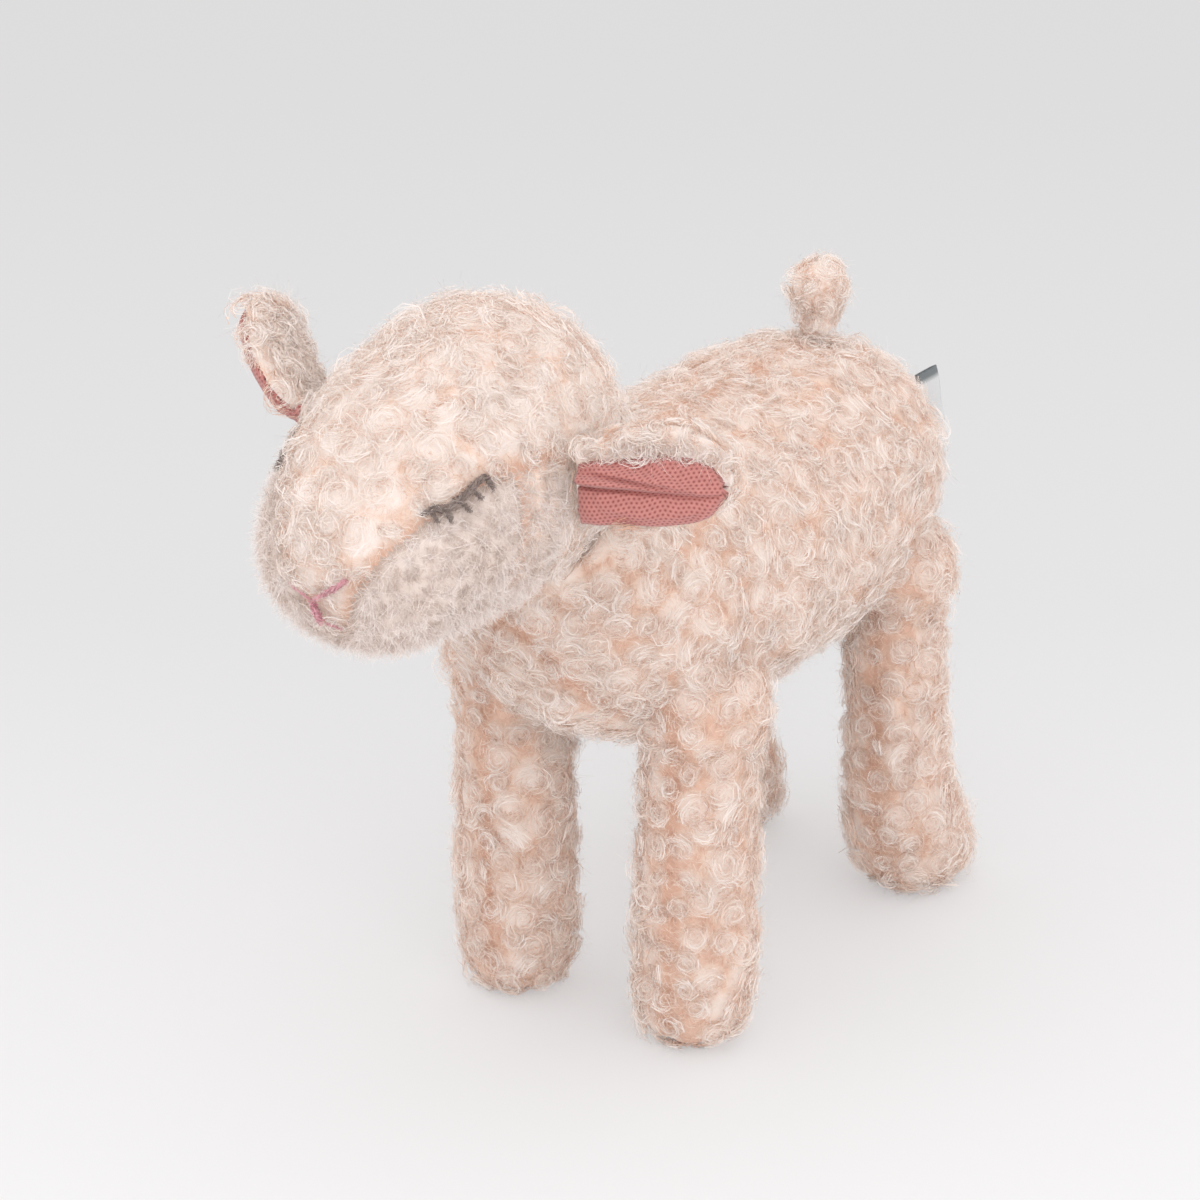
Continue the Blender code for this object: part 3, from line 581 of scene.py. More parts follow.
def fluff(skin, faces, curls, random, closer=1.0):
    """Short fibres that lie every way between the curls."""
    middles, normals, _ = spread(skin, faces, FLUFF_SPACING * closer, random)
    curl_height = CURL_HEIGHT * curls.scale
    rise = curls.dome(middles)
    shown = (rise < curl_height * FLUFF_CLEAR_SHARE) | (random.random(len(rise)) < FLUFF_ON_CURLS_SHARE)
    middles, normals, rise = middles[shown], normals[shown], rise[shown]
    count = len(middles)
    first, second = side_ways(normals, random)
    length = FLUFF_LENGTH * curls.scale * random.uniform(*FLUFF_LENGTH_SHARES, (count, 1))
    along = np.linspace(-0.5, 0.5, FLUFF_POINTS)[None, :, None]
    lift = random.uniform(*FLUFF_LIFT_SHARES, (count, 1)) * curl_height
    lift = rise[:, None] * FLUFF_RISE_SHARE + lift
    start = middles + normals * lift
    lines = start[:, None] + first[:, None] * (length[:, None] * along)
    sway = random.uniform(*FLUFF_SWAY_SHARES, (count, 1, 1))
    lines += second[:, None] * (length[:, None] * along**2) * sway
    arch = (0.5**2 - along**2) * random.uniform(*FLUFF_ARCH_SHARES, (count, 1, 1))
    lines += normals[:, None] * (length[:, None] * arch)
    # Painted shade: fibres are darker the lower they lie and lighter on the head; the random spread is
    # their own tone
    above = lift + length * arch[:, :, 0]
    shades = above / curl_height * FLUFF_SHADE_SHARE + random.uniform(*FLUFF_SHADE_SHARES, (count, 1))
    shades = np.clip(shades + FLUFF_SHADE_RISE.get(skin.name, 0.0), *SHADE_LIMITS)
    outward = np.repeat(normals[:, None], FLUFF_POINTS, 1)
    tints = random.random(count)
    widths = FLUFF_WIDTH * random.uniform(*FLUFF_WIDTH_SHARES, count)
    return lines, outward, widths, shades, tints


# Brushed nap of the cheeks, and of the strips between the cheeks and the ears
NAP_STRIP_END = -0.0745
NAP_POINTS = 4
NAP_SPACING = 0.00046
TUFT_SPACING = 0.0030
NAP_WIDTH = 0.00013
NAP_WIDTH_SHARES = (0.6, 1.4)
NAP_LENGTH = 0.0050
NAP_LENGTH_SHARES = (0.5, 1.15)
NAP_WAY = (0.0, 0.12, -0.30)
NAP_UP_SHARES = (0.25, 0.75)
NAP_PULL_SHARE = 0.9
NAP_SIDE_SHARES = (0.1, 0.9)
NAP_SWAY_SHARES = (-0.5, 0.5)
NAP_DROOP_SHARE = 0.22
NAP_THREAD_SHARE = 0.2
NAP_SEAM_SHARE = 1.2
NAP_LEAST_SHARE = 0.12
NAP_TOP_SHARE = 0.55
NAP_TOP_SHADE = 0.6
NAP_GATHER_SHADE = 0.15
NAP_TUFT_SHADES = (0.10, 0.35)
NAP_TINT_SHARE = 0.3


def nap(skin, faces, random):
    """Short brushed fibres that gather into small tufts and lie down the cheek."""
    tufts, _, _ = spread_apart(skin, faces, TUFT_SPACING, random)
    tuft_tree = tree_of(tufts)
    middles, normals, _ = spread(skin, faces, NAP_SPACING, random)
    count = len(middles)
    threads = distances(THREAD_TREE, middles) - THREAD_CLEAR * NAP_THREAD_SHARE
    clear = np.minimum(skin.seam_distance(middles), threads)
    room = np.clip(clear / (SEAM_WIDTH * NAP_SEAM_SHARE), NAP_LEAST_SHARE, 1.0)[:, None]
    nearest = np.array([tuft_tree.find(point)[1] for point in middles.tolist()])
    pull = (tufts[nearest] - middles) / TUFT_SPACING
    first, second = side_ways(normals, random)
    way = normals * random.uniform(*NAP_UP_SHARES, (count, 1)) + pull * NAP_PULL_SHARE
    way = unit(way + np.array(NAP_WAY) + first * random.uniform(*NAP_SIDE_SHARES, (count, 1)))
    length = NAP_LENGTH * random.uniform(*NAP_LENGTH_SHARES, (count, 1)) * room
    along = np.linspace(0, 1, NAP_POINTS)[None, :, None]
    bent = length[:, None] * along**2
    lines = middles[:, None] + way[:, None] * (length[:, None] * along)
    lines += second[:, None] * bent * random.uniform(*NAP_SWAY_SHARES, (count, 1, 1))
    lines -= normals[:, None] * bent * NAP_DROOP_SHARE
    lines += random.normal(0, FRIZZ["torso"], lines.shape)
    # Painted shade: fibres are darker the lower they lie and near seams and threads. They are also lighter
    # towards a tuft's middle, and each tuft has a random tone of its own.
    above = np.einsum("ijk,ik->ij", lines - middles[:, None], normals)
    gather = 1 - np.linalg.norm(pull, axis=1, keepdims=True)
    tone = random.random(len(tufts))[nearest]
    least, more = NAP_TUFT_SHADES
    shades = above / (NAP_LENGTH * NAP_TOP_SHARE) * NAP_TOP_SHADE + gather * NAP_GATHER_SHADE
    shades = np.clip(shades + (least + more * tone[:, None]) * room, *SHADE_LIMITS)
    tints = mixed_tints(tone, NAP_TINT_SHARE, random)
    widths = NAP_WIDTH * random.uniform(*NAP_WIDTH_SHARES, count)
    outward = np.repeat(normals[:, None], NAP_POINTS, 1)
    return lines, outward, widths, shades, tints


# Materials: their names are the names of the slots

SPECULAR_LEVEL = 0.25
SHEEN_ROUGHNESS = 0.5


def grey(level):
    return (level, level, level)


def give(tree, place, value):
    """Gives a node's input a value, or joins it to another node's output."""
    if isinstance(value, bpy.types.NodeSocket):
        tree.links.new(value, place)
    else:
        place.default_value = value


def add_node(tree, kind, inputs=(), **settings):
    node = tree.nodes.new(kind)
    for setting, value in settings.items():
        setattr(node, setting, value)
    for place, value in dict(inputs).items():
        give(tree, node.inputs[place], value)
    return node


def vector_math(tree, operation, *values):
    return add_node(tree, "ShaderNodeVectorMath", enumerate(values), operation=operation).outputs[0]


def ramp(tree, place, stops):
    """Colours that go over into each other, each with its place between 0 and 1."""
    node = add_node(tree, "ShaderNodeValToRGB", {0: place})
    elements = node.color_ramp.elements
    first, *between, last = stops
    for number, (stop, color) in enumerate((first, last, *between)):
        element = elements[number] if number < 2 else elements.new(stop)
        element.position = stop
        element.color = (*color, 1.0)
    return node.outputs["Color"]


def mixed_color(tree, share, below, above, blend_type="MIX"):
    inputs = {"Factor": share, "A": below, "B": above}
    mixed = add_node(tree, "ShaderNodeMix", inputs, data_type="RGBA", blend_type=blend_type)
    return mixed.outputs["Result"]


def new_material(name, roughness, sheen=0.0):
    """A cloth-like material, its nodes and its shader."""
    material = bpy.data.materials.new(name)
    material.use_nodes = True
    shader = material.node_tree.nodes["Principled BSDF"]
    shader.inputs["Roughness"].default_value = roughness
    shader.inputs["Specular IOR Level"].default_value = SPECULAR_LEVEL
    shader.inputs["Sheen Weight"].default_value = sheen
    shader.inputs["Sheen Roughness"].default_value = SHEEN_ROUGHNESS
    return material, material.node_tree, shader


def map_place(tree):
    return add_node(tree, "ShaderNodeUVMap", uv_map="OFBake").outputs["UV"]


# Wool: the colours deep in it, which are painted shade in its crevices, half-way up, at its tips and of
# its palest strands
WOOL_TONES = {
    "boucle": ((0.68, 0.31, 0.15), (0.87, 0.65, 0.52), (0.95, 0.86, 0.81), (0.98, 0.93, 0.905)),
    "brushed": ((0.44, 0.30, 0.23), (0.78, 0.65, 0.58), (0.93, 0.85, 0.81), (0.97, 0.92, 0.90)),
    "lash": ((0.085, 0.058, 0.050), (0.21, 0.155, 0.135), (0.38, 0.295, 0.265), (0.58, 0.48, 0.44)),
    "nose": ((0.66, 0.17, 0.24), (0.86, 0.34, 0.43), (0.93, 0.50, 0.56), (0.96, 0.66, 0.69)),
}
WOOL_ROUGHNESS = 0.9
WOOL_SHEEN = 0.25
WOOL_SHADE_SHARES = (0.0, 0.38, 0.72, 1.0)
WOOL_TINT_SHARES = (0.0, 0.45, 1.0)
WOOL_TINTED_SHARE = 0.35


def wool_material(name, deep_shade, middle, tip, pale):
    """Wool whose colour goes from painted shade deep in it to its own colour at its tips, unlike from
    strand to strand.
    """
    material, tree, shader = new_material(name, WOOL_ROUGHNESS, WOOL_SHEEN)
    split = add_node(tree, "ShaderNodeSeparateXYZ", {0: map_place(tree)})
    depth = ramp(tree, split.outputs["X"], zip(WOOL_SHADE_SHARES, (deep_shade, middle, tip, tip)))
    tint = ramp(tree, split.outputs["Y"], zip(WOOL_TINT_SHARES, (middle, tip, pale)))
    give(tree, shader.inputs["Base Color"], mixed_color(tree, WOOL_TINTED_SHARE, depth, tint))
    return material


def weave(tree, shader, color, pattern, tones, relief, strength, depth):
    """A colour that a pattern darkens, on a surface that a relief raises."""
    greys = ramp(tree, pattern, [(place, grey(level)) for place, level in tones])
    bump = add_node(tree, "ShaderNodeBump", {"Strength": strength, "Distance": depth, "Height": relief})
    give(tree, shader.inputs["Base Color"], mixed_color(tree, 1.0, color, greys, "MULTIPLY"))
    give(tree, shader.inputs["Normal"], bump.outputs[0])


# Lining: the holes' pitch, and the colours from a hole's middle outwards, in shares of the pitch; the dark
# middles are painted shade in the holes
HOLE_PITCH = 0.00115
HOLE_TONES = (
    (0.08, (0.30, 0.085, 0.075)),
    (0.17, (0.36, 0.115, 0.10)),
    (0.27, (0.53, 0.195, 0.175)),
    (0.48, (0.60, 0.25, 0.225)),
)
LINING_ROUGHNESS = 0.75
LINING_SHEEN = 0.3
WEAR_TONES = ((0.3, 0.86), (0.7, 1.0))
WEAR_NOISE = {"Scale": 26.0, "Detail": 6.0}
LINING_RELIEF = 0.0003
LINING_RELIEF_SHARE = 0.6


def lining_material():
    """Pink knit with rows of small holes, every other row shifted by half a step."""
    material, tree, shader = new_material("lining", LINING_ROUGHNESS, LINING_SHEEN)
    place = map_place(tree)
    rows = math.sqrt(3)
    steps = MAP_SPAN / HOLE_PITCH
    found = []
    for shift in (0.0, 0.5):
        scaled = vector_math(tree, "MULTIPLY_ADD", place, (steps, steps / rows, 0.0), (shift, shift, 0.0))
        part = vector_math(tree, "FRACTION", scaled)
        centred = vector_math(tree, "MULTIPLY_ADD", part, (1.0, rows, 0.0), (-0.5, -rows / 2, 0.0))
        length = add_node(tree, "ShaderNodeVectorMath", {0: centred}, operation="LENGTH")
        found.append(length.outputs["Value"])
    nearest = add_node(tree, "ShaderNodeMath", enumerate(found), operation="MINIMUM").outputs[0]
    noise = add_node(tree, "ShaderNodeTexNoise", {"Vector": place, **WEAR_NOISE}).outputs[0]
    # Painted shade: each hole is a dark spot in the knit's pink
    color = ramp(tree, nearest, HOLE_TONES)
    weave(tree, shader, color, noise, WEAR_TONES, nearest, LINING_RELIEF_SHARE, LINING_RELIEF)
    return material


# Label: white satin drawn light grey as painted shade, with a dark grey top, and the fine threads across
# it
LABEL_ROUGHNESS = 0.42
LABEL_SHEEN = 0.1
LABEL_TONES = ((0.60, (0.76, 0.77, 0.78)), (0.635, (0.20, 0.22, 0.23)))
LABEL_THREAD_TONES = ((0.0, 0.82), (1.0, 1.0))
LABEL_THREADS = {"Scale": 90.0, "Distortion": 0.6}
LABEL_RELIEF = 0.0001
LABEL_RELIEF_SHARE = 0.3


def label_material():
    material, tree, shader = new_material("label", LABEL_ROUGHNESS, LABEL_SHEEN)
    place = map_place(tree)
    split = add_node(tree, "ShaderNodeSeparateXYZ", {0: place})
    # Painted shade: the white satin below the dark grey top is drawn light grey
    color = ramp(tree, split.outputs["Y"], LABEL_TONES)
    waves = add_node(tree, "ShaderNodeTexWave", {"Vector": place, **LABEL_THREADS}, bands_direction="Y")
    threads = waves.outputs[0]
    weave(tree, shader, color, threads, LABEL_THREAD_TONES, threads, LABEL_RELIEF_SHARE, LABEL_RELIEF)
    return material


MATERIALS = {name: wool_material(name, *tones) for name, tones in WOOL_TONES.items()}
MATERIALS["lining"] = lining_material()
MATERIALS["label"] = label_material()


# Pieces: strands, cloth and thin sheets, each with its material, its body and its nodes

MOST_FACES = 95000
TAPER_SHARE = 0.35
ROLL_DEG = 55.0
SOLE_LIFT = 0.0002
DOME_SHARE = 0.12
# Painted shade of the cloth: how much lighter it is on domes and darker in seam furrows, and its level
# under each skin's wool
CLOTH_RELIEF_SHADE = 0.5
CLOTH_SHADE = {"torso": 0.10, "head": 0.38, "small": 0.42}
CLOTH_TINT_SHARES = (0.4, 0.3)


def dress(piece, slot, place, nodes=()):
    """Gives a piece its material and the body it follows, and hides the nodes that it shows instead; a
    piece between two bodies stays where it is.
    """
    piece.data.materials.append(MATERIALS[slot])
    if isinstance(place, str):
        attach(piece, place)
    else:
        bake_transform(piece)
    if nodes:
        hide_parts(*nodes)


def ribbons(lines, outward, widths, shades, tints, random):
    """Flat strands along lines of points, that face outward but for a small roll."""
    count, points = lines.shape[:2]
    along = unit(np.gradient(lines, axis=1))
    flat = unit(np.cross(outward, along))
    roll = np.radians(random.normal(0, ROLL_DEG, (count, 1, 1)))
    across = flat * np.cos(roll) + np.cross(along, flat) * np.sin(roll)
    taper = widths[:, None, None] * np.linspace(1.0, TAPER_SHARE, points)[None, :, None]
    corners = np.stack((lines - across * taper / 2, lines + across * taper / 2), 2)
    corners = corners.reshape(-1, 3)
    corners[:, 2] = np.maximum(corners[:, 2], SOLE_LIFT)
    first = (np.arange(count)[:, None] * points + np.arange(points - 1)[None, :]) * 2
    first = first.ravel()
    faces = np.stack((first, first + 2, first + 3, first + 1), 1)
    tint = np.repeat(tints, points * 2)
    sides = np.tile((0, MAP_STRIP), count * points)
    uvs = np.stack((np.repeat(shades.ravel(), 2), tint * (1 - MAP_STRIP) + sides), 1)
    return corners, faces, uvs


def add_strands(name, groups, slot, place, random, nodes=()):
    """Groups of strands, in as many pieces as keep each one light."""
    count = sum(len(lines) * (lines.shape[1] - 1) for lines, *_ in groups)
    parts = max(1, math.ceil(count / MOST_FACES))
    for part in range(parts):
        corners, faces, uvs, start = [], [], [], 0
        for group in groups:
            found = ribbons(*(item[part::parts] for item in group), random)
            corners.append(found[0])
            faces.append(found[1] + start)
            uvs.append(found[2])
            start += len(found[0])
        ending = "" if parts == 1 else f"_{part + 1}"
        strands = add_piece(f"{name}{ending}", np.vstack(corners), np.vstack(faces), np.vstack(uvs))
        dress(strands, slot, place, nodes)


def add_wool(name, skin, faces, curls, chosen, place, random, closer=1.0):
    """Chosen curls with their loose hairs, and the fluff between them on some faces."""
    groups = [
        curl_strands(curls, chosen, random),
        loose_hairs(curls, chosen, random),
        fluff(skin, faces, curls, random, closer),
    ]
    add_strands(name, groups, "boucle", place, random)


def add_cloth(name, skin, faces, curls, slot, place, nodes):
    """The part of a skin under some faces, raised under the curls and drawn in at seams."""
    used, places = np.unique(skin.faces[faces], return_inverse=True)
    corners = skin.corners[used]
    rise = curls.dome(corners)
    furrow = bell(skin.seam_distance(corners), SEAM_WIDTH) * SEAM_DEPTH
    corners = corners + skin.normals[used] * (rise * DOME_SHARE - furrow)[:, None]
    corners[:, 2] = np.maximum(corners[:, 2], SOLE_LIFT)
    # Painted shade: the cloth is dark like the deep wool, lighter on the domes under curls and darker in
    # the seams' furrows
    base_shade = CLOTH_SHADE.get(skin.name, CLOTH_SHADE["small"])
    shade = base_shade + rise / CURL_HEIGHT * CLOTH_RELIEF_SHADE - furrow / SEAM_DEPTH * CLOTH_RELIEF_SHADE
    shade = np.clip(shade, *SHADE_LIMITS)
    more, least = CLOTH_TINT_SHARES
    tint = np.random.default_rng(SEEDS["cloth"]).random(len(used)) * more + least
    uvs = np.stack((shade, tint), 1)
    cloth = add_piece(name, corners, places.reshape(-1, skin.faces.shape[1]), uvs, smooth=True)
    dress(cloth, slot, place, nodes)


def add_sheet(name, corners, faces, uvs, thickness, slot, body, node):
    """A thin sheet that has its thickness behind it."""
    sheet = add_piece(name, corners, faces, uvs, smooth=True)
    solid = sheet.modifiers.new("thickness", "SOLIDIFY")
    solid.thickness = thickness
    solid.offset = -1
    dress(sheet, slot, body, [node])
    return sheet


# Panels of the body, the legs and the head

TORSO_PANELS = ["body_side_left", "body_side_right", "belly_gusset"]
LEG_PANELS = [f"{leg}_{panel}" for leg in LEGS for panel in ("outer", "inner")]
HEAD_PANELS = ["head_crown", *(f"head_{panel}_{side}" for panel in ("cheek", "nape") for side in SIDES)]
FILLING_WITH = {
    "belly_gusset": ["body_filling"],
    "head_crown": ["head_filling"],
    **{f"{leg}_inner": [f"{leg}_filling"] for leg in LEGS},
}
LEG_BLEND_START_RISE = 0.010
LEG_BLEND_END_DROP = 0.036

# The bowl that the head sits in is bare of curls, and on its rim the cloth lies less deep
SKULL_RADIUS = 0.037
BOWL_CLEAR = -0.0015
RIM_START = 0.038
RIM_WIDTH = 0.010
RIM_SHARE = 0.1
NECK_BARE_DEG = 31.0


def torso_depth(points):
    beside = (np.linalg.norm(points - SKULL, axis=1) - RIM_START) / RIM_WIDTH
    return SKIN_DEPTH * np.clip(beside, RIM_SHARE, 1.0)


def in_bowl(points, normals):
    return np.linalg.norm(points - SKULL, axis=1) < SKULL_RADIUS + BOWL_CLEAR


def under_head(points, normals):
    """Whether points of the head's skin are at the neck or under a thread."""
    hidden = unit(points - SKULL) @ NECK_WAY > math.cos(math.radians(NECK_BARE_DEG))
    return hidden | (distances(THREAD_TREE, points) < THREAD_CLEAR)


def is_brushed(skin):
    """Faces of the cheeks, and of the strips between the cheeks and the ears."""
    cheek = np.isin(skin.owner, [skin.panels.index(f"head_cheek_{side}") for side in SIDES])
    nape = np.isin(skin.owner, [skin.panels.index(f"head_nape_{side}") for side in SIDES])
    return cheek | (nape & (skin.middles[:, 1] < NAP_STRIP_END))


def panel_place(node):
    """What a panel is on: its body, or the torso, its leg and the span where the cloth goes over from one
    to the other.
    """
    if not node.startswith("leg_"):
        return "head" if node.startswith("head") else "torso"
    leg = node.rsplit("_", 1)[0]
    hip = Vector(JOINTS[f"{leg}_swing"]["pos_m"])
    start = hip + Vector((0, 0, LEG_BLEND_START_RISE))
    end = hip - Vector((0, 0, LEG_BLEND_END_DROP))
    return "torso", leg, start, end


def build_panels(skin, bare, brushed=None):
    """The cloth and the curls or the nap of every panel of a skin."""
    random = np.random.default_rng(SEEDS[skin.name])
    combed = np.zeros(len(skin.faces), bool) if brushed is None else brushed(skin)
    curls = Curls(skin, np.flatnonzero(~combed), random, bare=bare)
    owner = skin.owner[curls.faces]
    for number, node in enumerate(skin.panels):
        faces = np.flatnonzero(skin.owner == number)
        slot = "brushed" if "cheek" in node else "boucle"
        place = panel_place(node)
        add_cloth(f"{node}_cloth", skin, faces, curls, slot, place, [node, *FILLING_WITH.get(node, ())])
        smooth = faces[combed[faces]]
        if len(smooth):
            add_strands(f"{node}_nap", [nap(skin, smooth, random)], "brushed", place, random)
        chosen = np.flatnonzero(owner == number)
        if len(chosen):
            add_wool(f"{node}_curls", skin, faces[~combed[faces]], curls, chosen, place, random)


# Embroidery: fibres twisted into threads. Their places are shares of the thread's length,
# their reach, spread and width are shares of its radius, and the twist is in radians.
THREAD_RADIUS = 0.00070
THREAD_LIFT = {"left": 0.0015, "right": 0.0008}
FIBRE_POINTS = 6
FIBRE_FIRST_SHARE = -0.04
FIBRE_LAST_SHARE = 0.6
FIBRE_TWIST = 14
FIBRE_REACH_SHARES = (0.05, 1.3)
FIBRE_SPREAD_SHARE = 0.38
FIBRE_WIDTH_SHARE = 0.30
FIBRE_WIDTH_SHARES = (0.6, 1.3)
LID_POINTS = 30
LID_FIBRES = 260
LID_FIBRE_SHARE = 0.22
LASHES = 5
LASH_SHARES = (0.12, 0.97)
LASH_LENGTH = 0.0036
LASH_LEAN_SHARES = (-0.5, 0.5)
LASH_POINTS = 6
LASH_LIFT_SHARE = 1.5
LASH_RADIUS_SHARE = 0.80
LASH_FIBRES = 46
LASH_FIBRE_SHARE = 0.6
NOSE_LIFT = 0.0023
NOSE_POINTS = 10
NOSE_FIBRES = (26, 70, 80, 24)
NOSE_FIBRE_SHARE = 0.7
NOSE_RADIUS_SHARES = (0.5, 0.9, 1.1, 0.45)


def thread_fibres(line, ways, radius, count, length, random):
    """Fibres twisted round a line, each along a part of it."""
    last = len(line) - 1
    begin = random.uniform(FIBRE_FIRST_SHARE, 1.0 - length * FIBRE_LAST_SHARE, (count, 1))
    places = np.clip(begin + length * np.linspace(0, 1, FIBRE_POINTS)[None, :], 0, 1) * last
    low = np.minimum(places.astype(int), last - 1)
    part = (places - low)[:, :, None]
    middle = line[low] * (1 - part) + line[low + 1] * part
    way_out = unit(ways[low] * (1 - part) + ways[low + 1] * part)
    along = unit(np.gradient(middle, axis=1) + NO_STEP)
    side = unit(np.cross(along, way_out))
    angle = random.uniform(0, math.tau, (count, 1)) + places / last * FIBRE_TWIST
    reach = radius * np.sqrt(random.uniform(*FIBRE_REACH_SHARES, (count, 1)))
    offset = side * np.cos(angle)[:, :, None] + way_out * np.sin(angle)[:, :, None]
    lines = middle + offset * reach[:, :, None]
    lines += random.normal(0, radius * FIBRE_SPREAD_SHARE, middle.shape)
    # Painted light and shade: fibres on the thread's outer side are lighter, those under it darker
    shades = np.clip((1 + np.sin(angle)) / 2, *SHADE_LIMITS)
    widths = radius * FIBRE_WIDTH_SHARE * random.uniform(*FIBRE_WIDTH_SHARES, count)
    return lines, offset, widths, shades, random.random(count)


def build_eye(side, points, skin, random):
    """The lid line of a closed eye and the lashes that hang from it."""
    lift = THREAD_LIFT[side]
    line, ways = skin.laid(along_line(points, LID_POINTS), lift)
    groups = [thread_fibres(line, ways, THREAD_RADIUS, LID_FIBRES, LID_FIBRE_SHARE, random)]
    radius = THREAD_RADIUS * LASH_RADIUS_SHARE
    for share in np.linspace(*LASH_SHARES, LASHES):
        number = int(share * (len(line) - 1))
        root = line[number]
        along = unit(line[min(number + 1, len(line) - 1)] - line[number - 1])
        down = np.cross(ways[number], along)
        down = down if down[2] < 0 else -down
        tip = root + unit(down + along * random.uniform(*LASH_LEAN_SHARES)) * LASH_LENGTH
        lash, lash_ways = skin.laid(along_line((root, tip), LASH_POINTS), lift * LASH_LIFT_SHARE)
        groups.append(thread_fibres(lash, lash_ways, radius, LASH_FIBRES, LASH_FIBRE_SHARE, random))
    add_strands(f"eye_{side}_thread", groups, "lash", "head", random, [f"eye_{side}_stitches"])


def build_nose(skin, random):
    """The embroidered nose and the mouth line under it."""
    groups = []
    for line, count, share in zip(NOSE_LINES, NOSE_FIBRES, NOSE_RADIUS_SHARES):
        laid, ways = skin.laid(along_line(line, NOSE_POINTS), NOSE_LIFT)
        groups.append(thread_fibres(laid, ways, THREAD_RADIUS * share, count, NOSE_FIBRE_SHARE, random))
    add_strands("nose_thread", groups, "nose", "head", random, ["nose_stitches"])


# Ears, neck and tail: thinner cloth with smaller curls

EAR_DEPTH = 0.0009
EAR_VOXEL = 0.0009
EAR_SMOOTHING = 3
EAR_SCALE = {"left": 0.72, "right": 0.80}
EAR_CLOSER_SHARE = 0.72
NECK_DEPTH = 0.0002
NECK_SCALE = 0.5
TAIL_DEPTH = 0.0006
TAIL_SCALE = 0.74

# Lining: how far the cloth of the ear rolls over each edge, and how the outline widens at its ends
LINING_STEPS = (72, 64)
LINING_THICKNESS = 0.0003
LINING_ROOT = 0.0008
LINING_TIP = {"left": 0.0016, "right": 0.0006}
LINING_TOP = {"left": 0.0066, "right": 0.0012}
LINING_FOOT = -0.0004
LINING_OVERLAP = 0.0002
LINING_FACING = {"left": -0.15, "right": 0.5}
LINING_ROUNDING = 0.0042
ROUNDED_SHARE = 0.12
EDGE_SMOOTHING = 7
FLARE_LENGTH = 0.0075
FLARE_FOOT = {"left": 0.0036, "right": 0.0010}
FLARE_TOP = {"left": 0.0034, "right": 0.0005}
TIP_LENGTH = 0.007
TIP_LOW_WIDER = 0.0016
TIP_HIGH_WIDER = 0.00064

# Relief of the lining: shares across it for its rims and its two folds, and their heights
ABOVE_EAR = 0.03
LINING_LIFT = 0.0007
LIFT_SHARE = 0.06
LINING_PILLOW = 0.0023
PILLOW_SHARE = 0.28
LINING_SINK = 0.0003
TUCK = 0.0016
TUCK_LENGTH = 0.0016
FOLD_START_SHARES = (0.62, 0.84)
FOLD_DRIFT_SHARES = (0.24, 0.46)
FOLD_HEIGHTS = (0.0030, 0.0020)
FOLD_FADE_SHARE = 1.15
RIDGE_SHARE = 0.075
RIDGE_WIDTH_SHARE = 0.085
VALLEY_SHARE = -0.01
VALLEY_WIDTH_SHARE = 0.030
VALLEY_DEPTH_SHARE = 0.85


class EarPlaces:
    """The root of an ear and the ways along it, across it and out of its lining."""

    def __init__(self, side):
        hinge = JOINTS[f"ear_{side}_flap"]
        lining = node_corners(f"ear_{side}_lining").mean(0)
        back = node_corners(f"ear_{side}_back").mean(0)
        self.root = np.array(hinge["pos_m"])
        self.across = unit(np.array(hinge["axis"]))
        along = lining - self.root
        self.along = unit(along - self.across * (along @ self.across))
        out = np.cross(self.along, self.across)
        self.out = out if out @ (lining - back) > 0 else -out

    def shares(self, points):
        """How far points are from the root along the ear, across it and out of it."""
        offset = points - self.root
        return offset @ self.along, offset @ self.across, offset @ self.out

    def point(self, along, across, out):
        return self.root + self.along * along + self.across * across + self.out * out


def smoothed(values):
    """The running mean of a row of values."""
    padded = np.pad(values, EDGE_SMOOTHING // 2, mode="edge")
    return np.convolve(padded, np.ones(EDGE_SMOOTHING) / EDGE_SMOOTHING, "valid")


def lining_edges(places, skin, side):
    """The low and the high edge of the lining at even steps along the ear."""
    along, across, _ = places.shares(skin.corners)
    steps = np.linspace(along.min() + LINING_ROOT, along.max() - LINING_TIP[side], LINING_STEPS[0])
    near = [across[np.abs(along - step) < EAR_VOXEL] for step in steps]
    low = smoothed([row.min() + LINING_FOOT for row in near])
    high = smoothed([row.max() - LINING_TOP[side] for row in near])
    flare = bell(steps - steps[0], FLARE_LENGTH)
    tip = bell(steps[-1] - steps, TIP_LENGTH)
    low = low - FLARE_FOOT[side] * flare - TIP_LOW_WIDER * tip
    high = high + FLARE_TOP[side] * flare + TIP_HIGH_WIDER * tip
    middle = (low + high) / 2
    left = (steps[-1] - steps) / LINING_ROUNDING
    rounding = np.sqrt(np.clip(1 - np.clip(1 - left, 0, 1) ** 2, ROUNDED_SHARE, 1))
    return steps, middle + (low - middle) * rounding, middle + (high - middle) * rounding


def folds_at(part):
    """Middle and height of the lining's two long folds at a part of its length."""
    strengths = (math.sqrt(1 - part), math.sin(math.pi * min(1.0, part * FOLD_FADE_SHARE)))
    return [
        (start - drift * part, height * strength)
        for start, drift, height, strength in zip(
            FOLD_START_SHARES, FOLD_DRIFT_SHARES, FOLD_HEIGHTS, strengths
        )
    ]


def lining_relief(share, folds):
    """How far the lining stands off the ear at a share of its width."""
    edge = min(share, 1 - share)
    relief = LINING_LIFT * min(1.0, edge / LIFT_SHARE)
    relief += LINING_PILLOW * math.sin(min(1.0, edge / PILLOW_SHARE) * math.pi / 2)
    for middle, height in folds:
        gap = share - middle
        relief += height * bell(gap - RIDGE_SHARE, RIDGE_WIDTH_SHARE)
        relief -= height * VALLEY_DEPTH_SHARE * bell(gap - VALLEY_SHARE, VALLEY_WIDTH_SHARE)
    return relief


